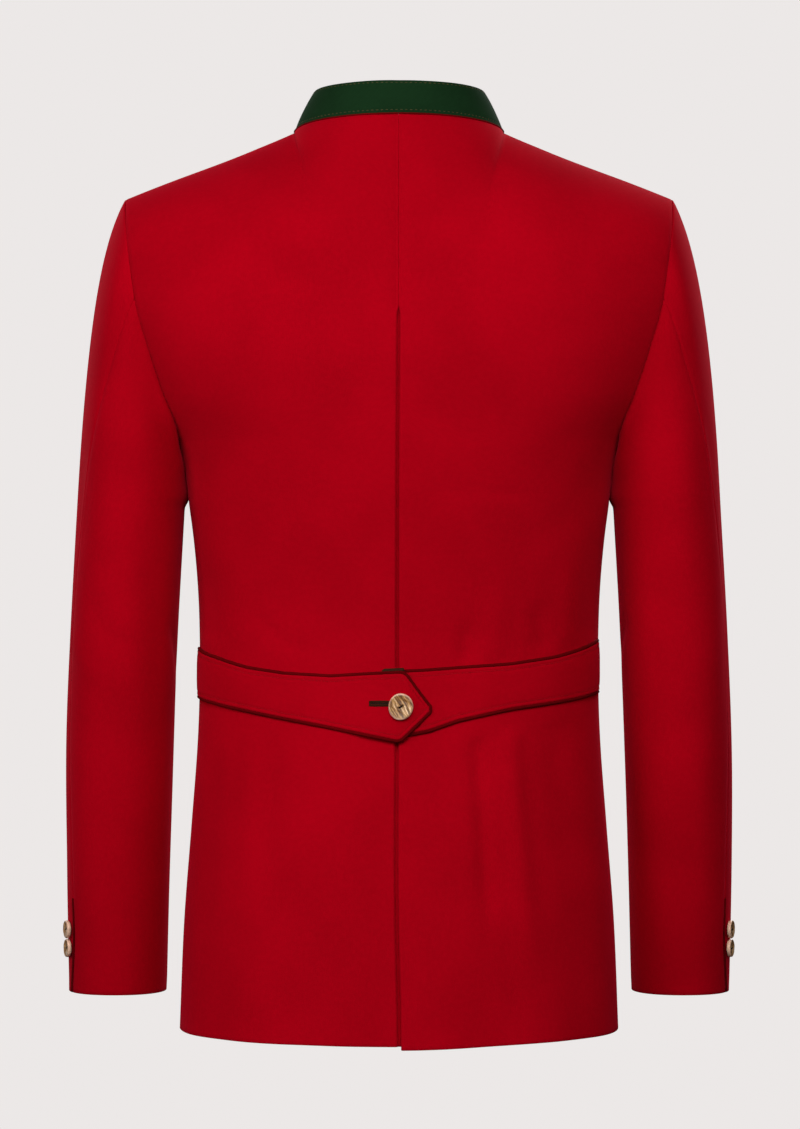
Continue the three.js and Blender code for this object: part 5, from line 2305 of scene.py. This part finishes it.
@dataclass(frozen=True)
class Buttons:
    """All the horn buttons: on the belt, at the cuffs and down the front.

    Attributes:
        finishes: The jacket's finishes.
        cuff_heights: Heights of the two at each cuff.
        cuff_angle: Degrees round the sleeve where they sit.
        front_top: Height of the topmost one at the front.
        front_pitch: From one to the next.
        front_count: How many there are.
    """

    finishes: Finishes
    cuff_heights: tuple[float, ...] = (-648.0, -663.6)
    cuff_angle: float = 30.0
    front_top: float = -112.0
    front_pitch: float = 88.0
    front_count: int = 5

    def place(self, node: str, button: HornButton, point: Array, normal: Array) -> tuple[Piece, Skin]:
        """Makes one button, and gives the thread in its holes to be joined with the others."""
        made = make(f"horn_{node}", button.skin(point, normal), self.finishes.horn, "stag_horn", node)
        return made, button.thread(point, normal)

    def belt(self) -> tuple[Piece, Skin]:
        """The half belt's button.

        Returns:
            The button and the thread in its holes.
        """
        belt = HalfBelt(self.finishes)
        degrees = np.array([-0.7])
        height = belt.height(degrees, True) + belt.cloth / 2 + GAP + 0.15
        point, normal = belt.over(degrees, np.array([-462.0]), height)
        button = HornButton(10.3, 4.2, 3.7, 25.0, (0.94, 1.03), 3)
        return self.place("belt_button", button, point[0], normal[0])

    def cuffs(self) -> list[tuple[Piece, Skin]]:
        """Two buttons on the outer back of each sleeve.

        Returns:
            Each button with the thread in its holes.
        """
        sleeves = Sleeves(self.finishes)
        made = []
        for side in Side:
            for i, z in enumerate(self.cuff_heights):
                point = sleeves.ring(np.array(self.cuff_angle), np.array(z))
                along = unit(point - sleeves.ring(np.array(self.cuff_angle - 1.0), np.array(z)))
                flip = np.array([float(side.value), 1.0, 1.0])
                normal = np.array([along[1], -along[0], 0.0])
                back = (point + normal * (CLOTH / 2 + GAP + 0.6)) * flip
                button = HornButton(7.6, 3.2, 3.0, 20.0, (1.0, 0.97), 11 + 2 * i + side.value)
                made.append(self.place(f"cuff_button_{side.word}_{i + 1}", button, back, normal * flip))
        return made

    def fronts(self) -> list[tuple[Piece, Skin]]:
        """Five buttons down the centre front.

        Returns:
            Each button with the thread in its holes.
        """
        line = front_form(Side.LEFT).plain_grid()[:, 0]
        made = []
        for i in range(self.front_count):
            z = self.front_top - i * self.front_pitch
            at = np.interp(z, line[:, 2], np.arange(len(line)))
            below, above = line[int(at)], line[int(at) + 1]
            point = lerp(below, above, at - int(at))
            normal = unit(np.array([0.0, below[2] - above[2], above[1] - below[1]]))
            back = point + normal * (CLOTH / 2 + GAP + 0.2)
            button = HornButton(9.5, 4.0, 3.6, 8.0, (1.0, 1.0), 31 + i)
            made.append(self.place(f"front_button_{i + 1}", button, back, normal))
        return made

    def holes(self) -> None:
        """The worked buttonholes of the left front, whose ends show beside the buttons."""
        form = front_form(Side.LEFT)
        base = form.grid()
        normals = form.outward(base)
        x = np.linspace(17.0, 2.0, 50)
        for i in range(self.front_count):
            z = self.front_top - i * self.front_pitch
            row = np.full_like(x, np.interp(z, base[:, 0, 2], np.arange(len(base))))
            column = np.interp(x, base[int(row[0]), :, 0], np.arange(base.shape[1]))
            normal = unit(sample(normals, row, x / 3.0))
            face = sample(base, row, column) + normal * (CLOTH / 2)
            WorkedHole(f"front_buttonhole_{i + 1}", self.finishes).build(face, normal)

    def build(self) -> list[Piece]:
        """Builds every button, with its thread, and the front's buttonholes.

        Returns:
            The buttons and the thread.
        """
        placed = [self.belt(), *self.cuffs(), *self.fronts()]
        self.holes()
        thread = Skin.joined([strand for _, strand in placed])
        strands = make("button_thread", thread, self.finishes.dark, "dark_piping")
        return [button for button, _ in placed] + [strands]


@dataclass(frozen=True)
class CuffEdging:
    """The dark edging of each cuff's vent, which lies on the hind seam and widens to the cuff; its width and
    dark red paint the vent's shadow as well as the edging.

    Attributes:
        finishes: The jacket's finishes.
        top_width: Its width at the vent's top.
        hem_width: Its width at the cuff, widened with the vent's painted shadow.
        thick: Its thickness.
    """

    finishes: Finishes
    top_width: float = 1.4
    hem_width: float = 3.0
    thick: float = 1.2

    def build(self) -> list[Piece]:
        """Builds both edgings.

        Returns:
            The pieces, left and right.
        """
        sleeves = Sleeves(self.finishes)
        z = np.linspace(CUFF_Z + RIM, sleeves.vent_top, 60)[:, None]
        hind = sleeves.seam(sleeves.hind)
        seam = sleeves.ring(hind(z), z)
        along = unit(seam - sleeves.ring(hind(z) - 2.0, z))
        out = np.stack([along[..., 1], -along[..., 0], np.zeros_like(z)], axis=-1)
        share = (z - CUFF_Z) / (sleeves.vent_top - CUFF_Z)
        width = (lerp(self.hem_width, self.top_width, share) - 2 * RIM)[..., None]
        across = np.linspace(-0.5, 0.5, 5)[None, :, None]
        lift = CLOTH / 2 + GAP / 2 + self.thick / 2
        grid = seam + along * across * width + out * lift
        made = []
        for side in Side:
            node = f"cuff_edging_{side.word}"
            # The strip is partly edging and partly the painted shade of the vent.
            skin = shell(grid, self.thick).mirrored(side)
            made.append(make(f"cord_{node}", skin, self.finishes.piping, "dark_piping", node))
        return made


# ---------- Studio ----------
# Name, place in metres, size in metres and watts of each light.
LIGHTS = (
    ("key", (0.0, 2.2, 0.8), 1.4, 41.0),
    ("left", (2.0, 1.6, 0.1), 1.4, 19.0),
    ("right", (-1.9, 1.7, 0.2), 1.4, 5.0),
    ("front", (-1.2, -2.2, 0.9), 1.6, 40.0),
    ("front_fill", (1.6, -2.2, 0.2), 1.6, 18.0),
)


@dataclass(frozen=True)
class Studio:
    """A plain pale round room with soft lights and the camera behind the jacket.

    Attributes:
        floor: Height of the floor, in metres.
        ceiling: Height of the ceiling.
        wall: Distance of the wall from the jacket.
        bend: Radius of the curve between wall and floor.
        paper: The room's colour.
    """

    floor: float = -1.35
    ceiling: float = 9.0
    wall: float = 10.0
    bend: float = 0.9
    paper: Colour = (0.838, 0.807, 0.799)

    def backdrop(self) -> None:
        """Builds floor, quarter circle, wall and ceiling, turned about the jacket as a lathe turns."""
        turn = np.linspace(0.0, math.pi / 2, 17)
        out = np.concatenate([self.wall - self.bend + self.bend * np.sin(turn), [self.wall]])
        height = np.concatenate([self.floor + self.bend * (1.0 - np.cos(turn)), [self.ceiling]])
        around = np.linspace(0.0, 2.0 * math.pi, 96, endpoint=False)
        grid = points(out[:, None] * np.cos(around), out[:, None] * np.sin(around), height[:, None])
        poles = np.array([[0.0, 0.0, self.floor], [0.0, 0.0, self.ceiling]])
        faces = [face for block in ring_faces(*grid.shape[:2]) for face in block.tolist()]
        mesh = bpy.data.meshes.new("backdrop")
        mesh.from_pydata(np.concatenate([grid.reshape(-1, 3), poles]).tolist(), [], faces)
        mesh.polygons.foreach_set("use_smooth", np.ones(len(mesh.polygons), dtype=bool))
        finish = Tree("paper").finish(
            Base_Color=(0.0, 0.0, 0.0),
            Roughness=1.0,
            Specular_IOR_Level=0.0,
            Emission_Color=self.paper,
            Emission_Strength=1.0,
        )
        mesh.materials.append(finish)
        backdrop = bpy.data.objects.new("backdrop", mesh)
        bpy.context.scene.collection.objects.link(backdrop)
        backdrop.visible_diffuse = False
        backdrop.visible_glossy = False

    @staticmethod
    def light(name: str, place: Sequence[float], size: float, watts: float) -> None:
        """Puts up a square area light that faces the middle of the jacket.

        Args:
            name: Its name.
            place: Where it hangs, in metres.
            size: Its width, in metres.
            watts: Its power.
        """
        data = bpy.data.lights.new(name, "AREA")
        data.size = size
        data.energy = watts
        lamp = bpy.data.objects.new(name, data)
        aim = Vector((0.0, 0.0, -0.35)) - Vector(place)
        lamp.location = place
        lamp.rotation_euler = aim.to_track_quat("-Z", "Y").to_euler()
        bpy.context.scene.collection.objects.link(lamp)

    def build(self) -> None:
        """Builds the room, the lights and the camera."""
        self.backdrop()
        for light in LIGHTS:
            self.light(*light)
        world = bpy.data.worlds.new("room")
        world.use_nodes = True
        background = world.node_tree.nodes["Background"]
        background.inputs["Color"].default_value = (1.0, 0.985, 0.98, 1.0)
        background.inputs["Strength"].default_value = 0.04
        scene = bpy.context.scene
        scene.world = world
        scene.view_settings.view_transform = "Standard"
        data = bpy.data.cameras.new("camera")
        data.sensor_fit = "VERTICAL"
        data.sensor_height = 36.0
        data.lens = 133.35
        camera = bpy.data.objects.new("camera", data)
        camera.location = (-0.0008, 3.4, -0.3504)
        camera.rotation_euler = (math.radians(90.0), 0.0, math.radians(180.0))
        scene.collection.objects.link(camera)
        scene.camera = camera


def main() -> None:
    """Builds the jacket piece by piece, then the room round it."""
    logging.basicConfig(level=logging.INFO, format="%(message)s")
    finishes = Finishes.build()
    for assembly in (Back, Fronts, Sleeves, Collar, HalfBelt, CuffEdging, Buttons):
        pieces = assembly(finishes).build()
        log.info("%s: %d pieces", assembly.__name__, len(pieces))
    Studio().build()


if __name__ == "__main__":
    main()
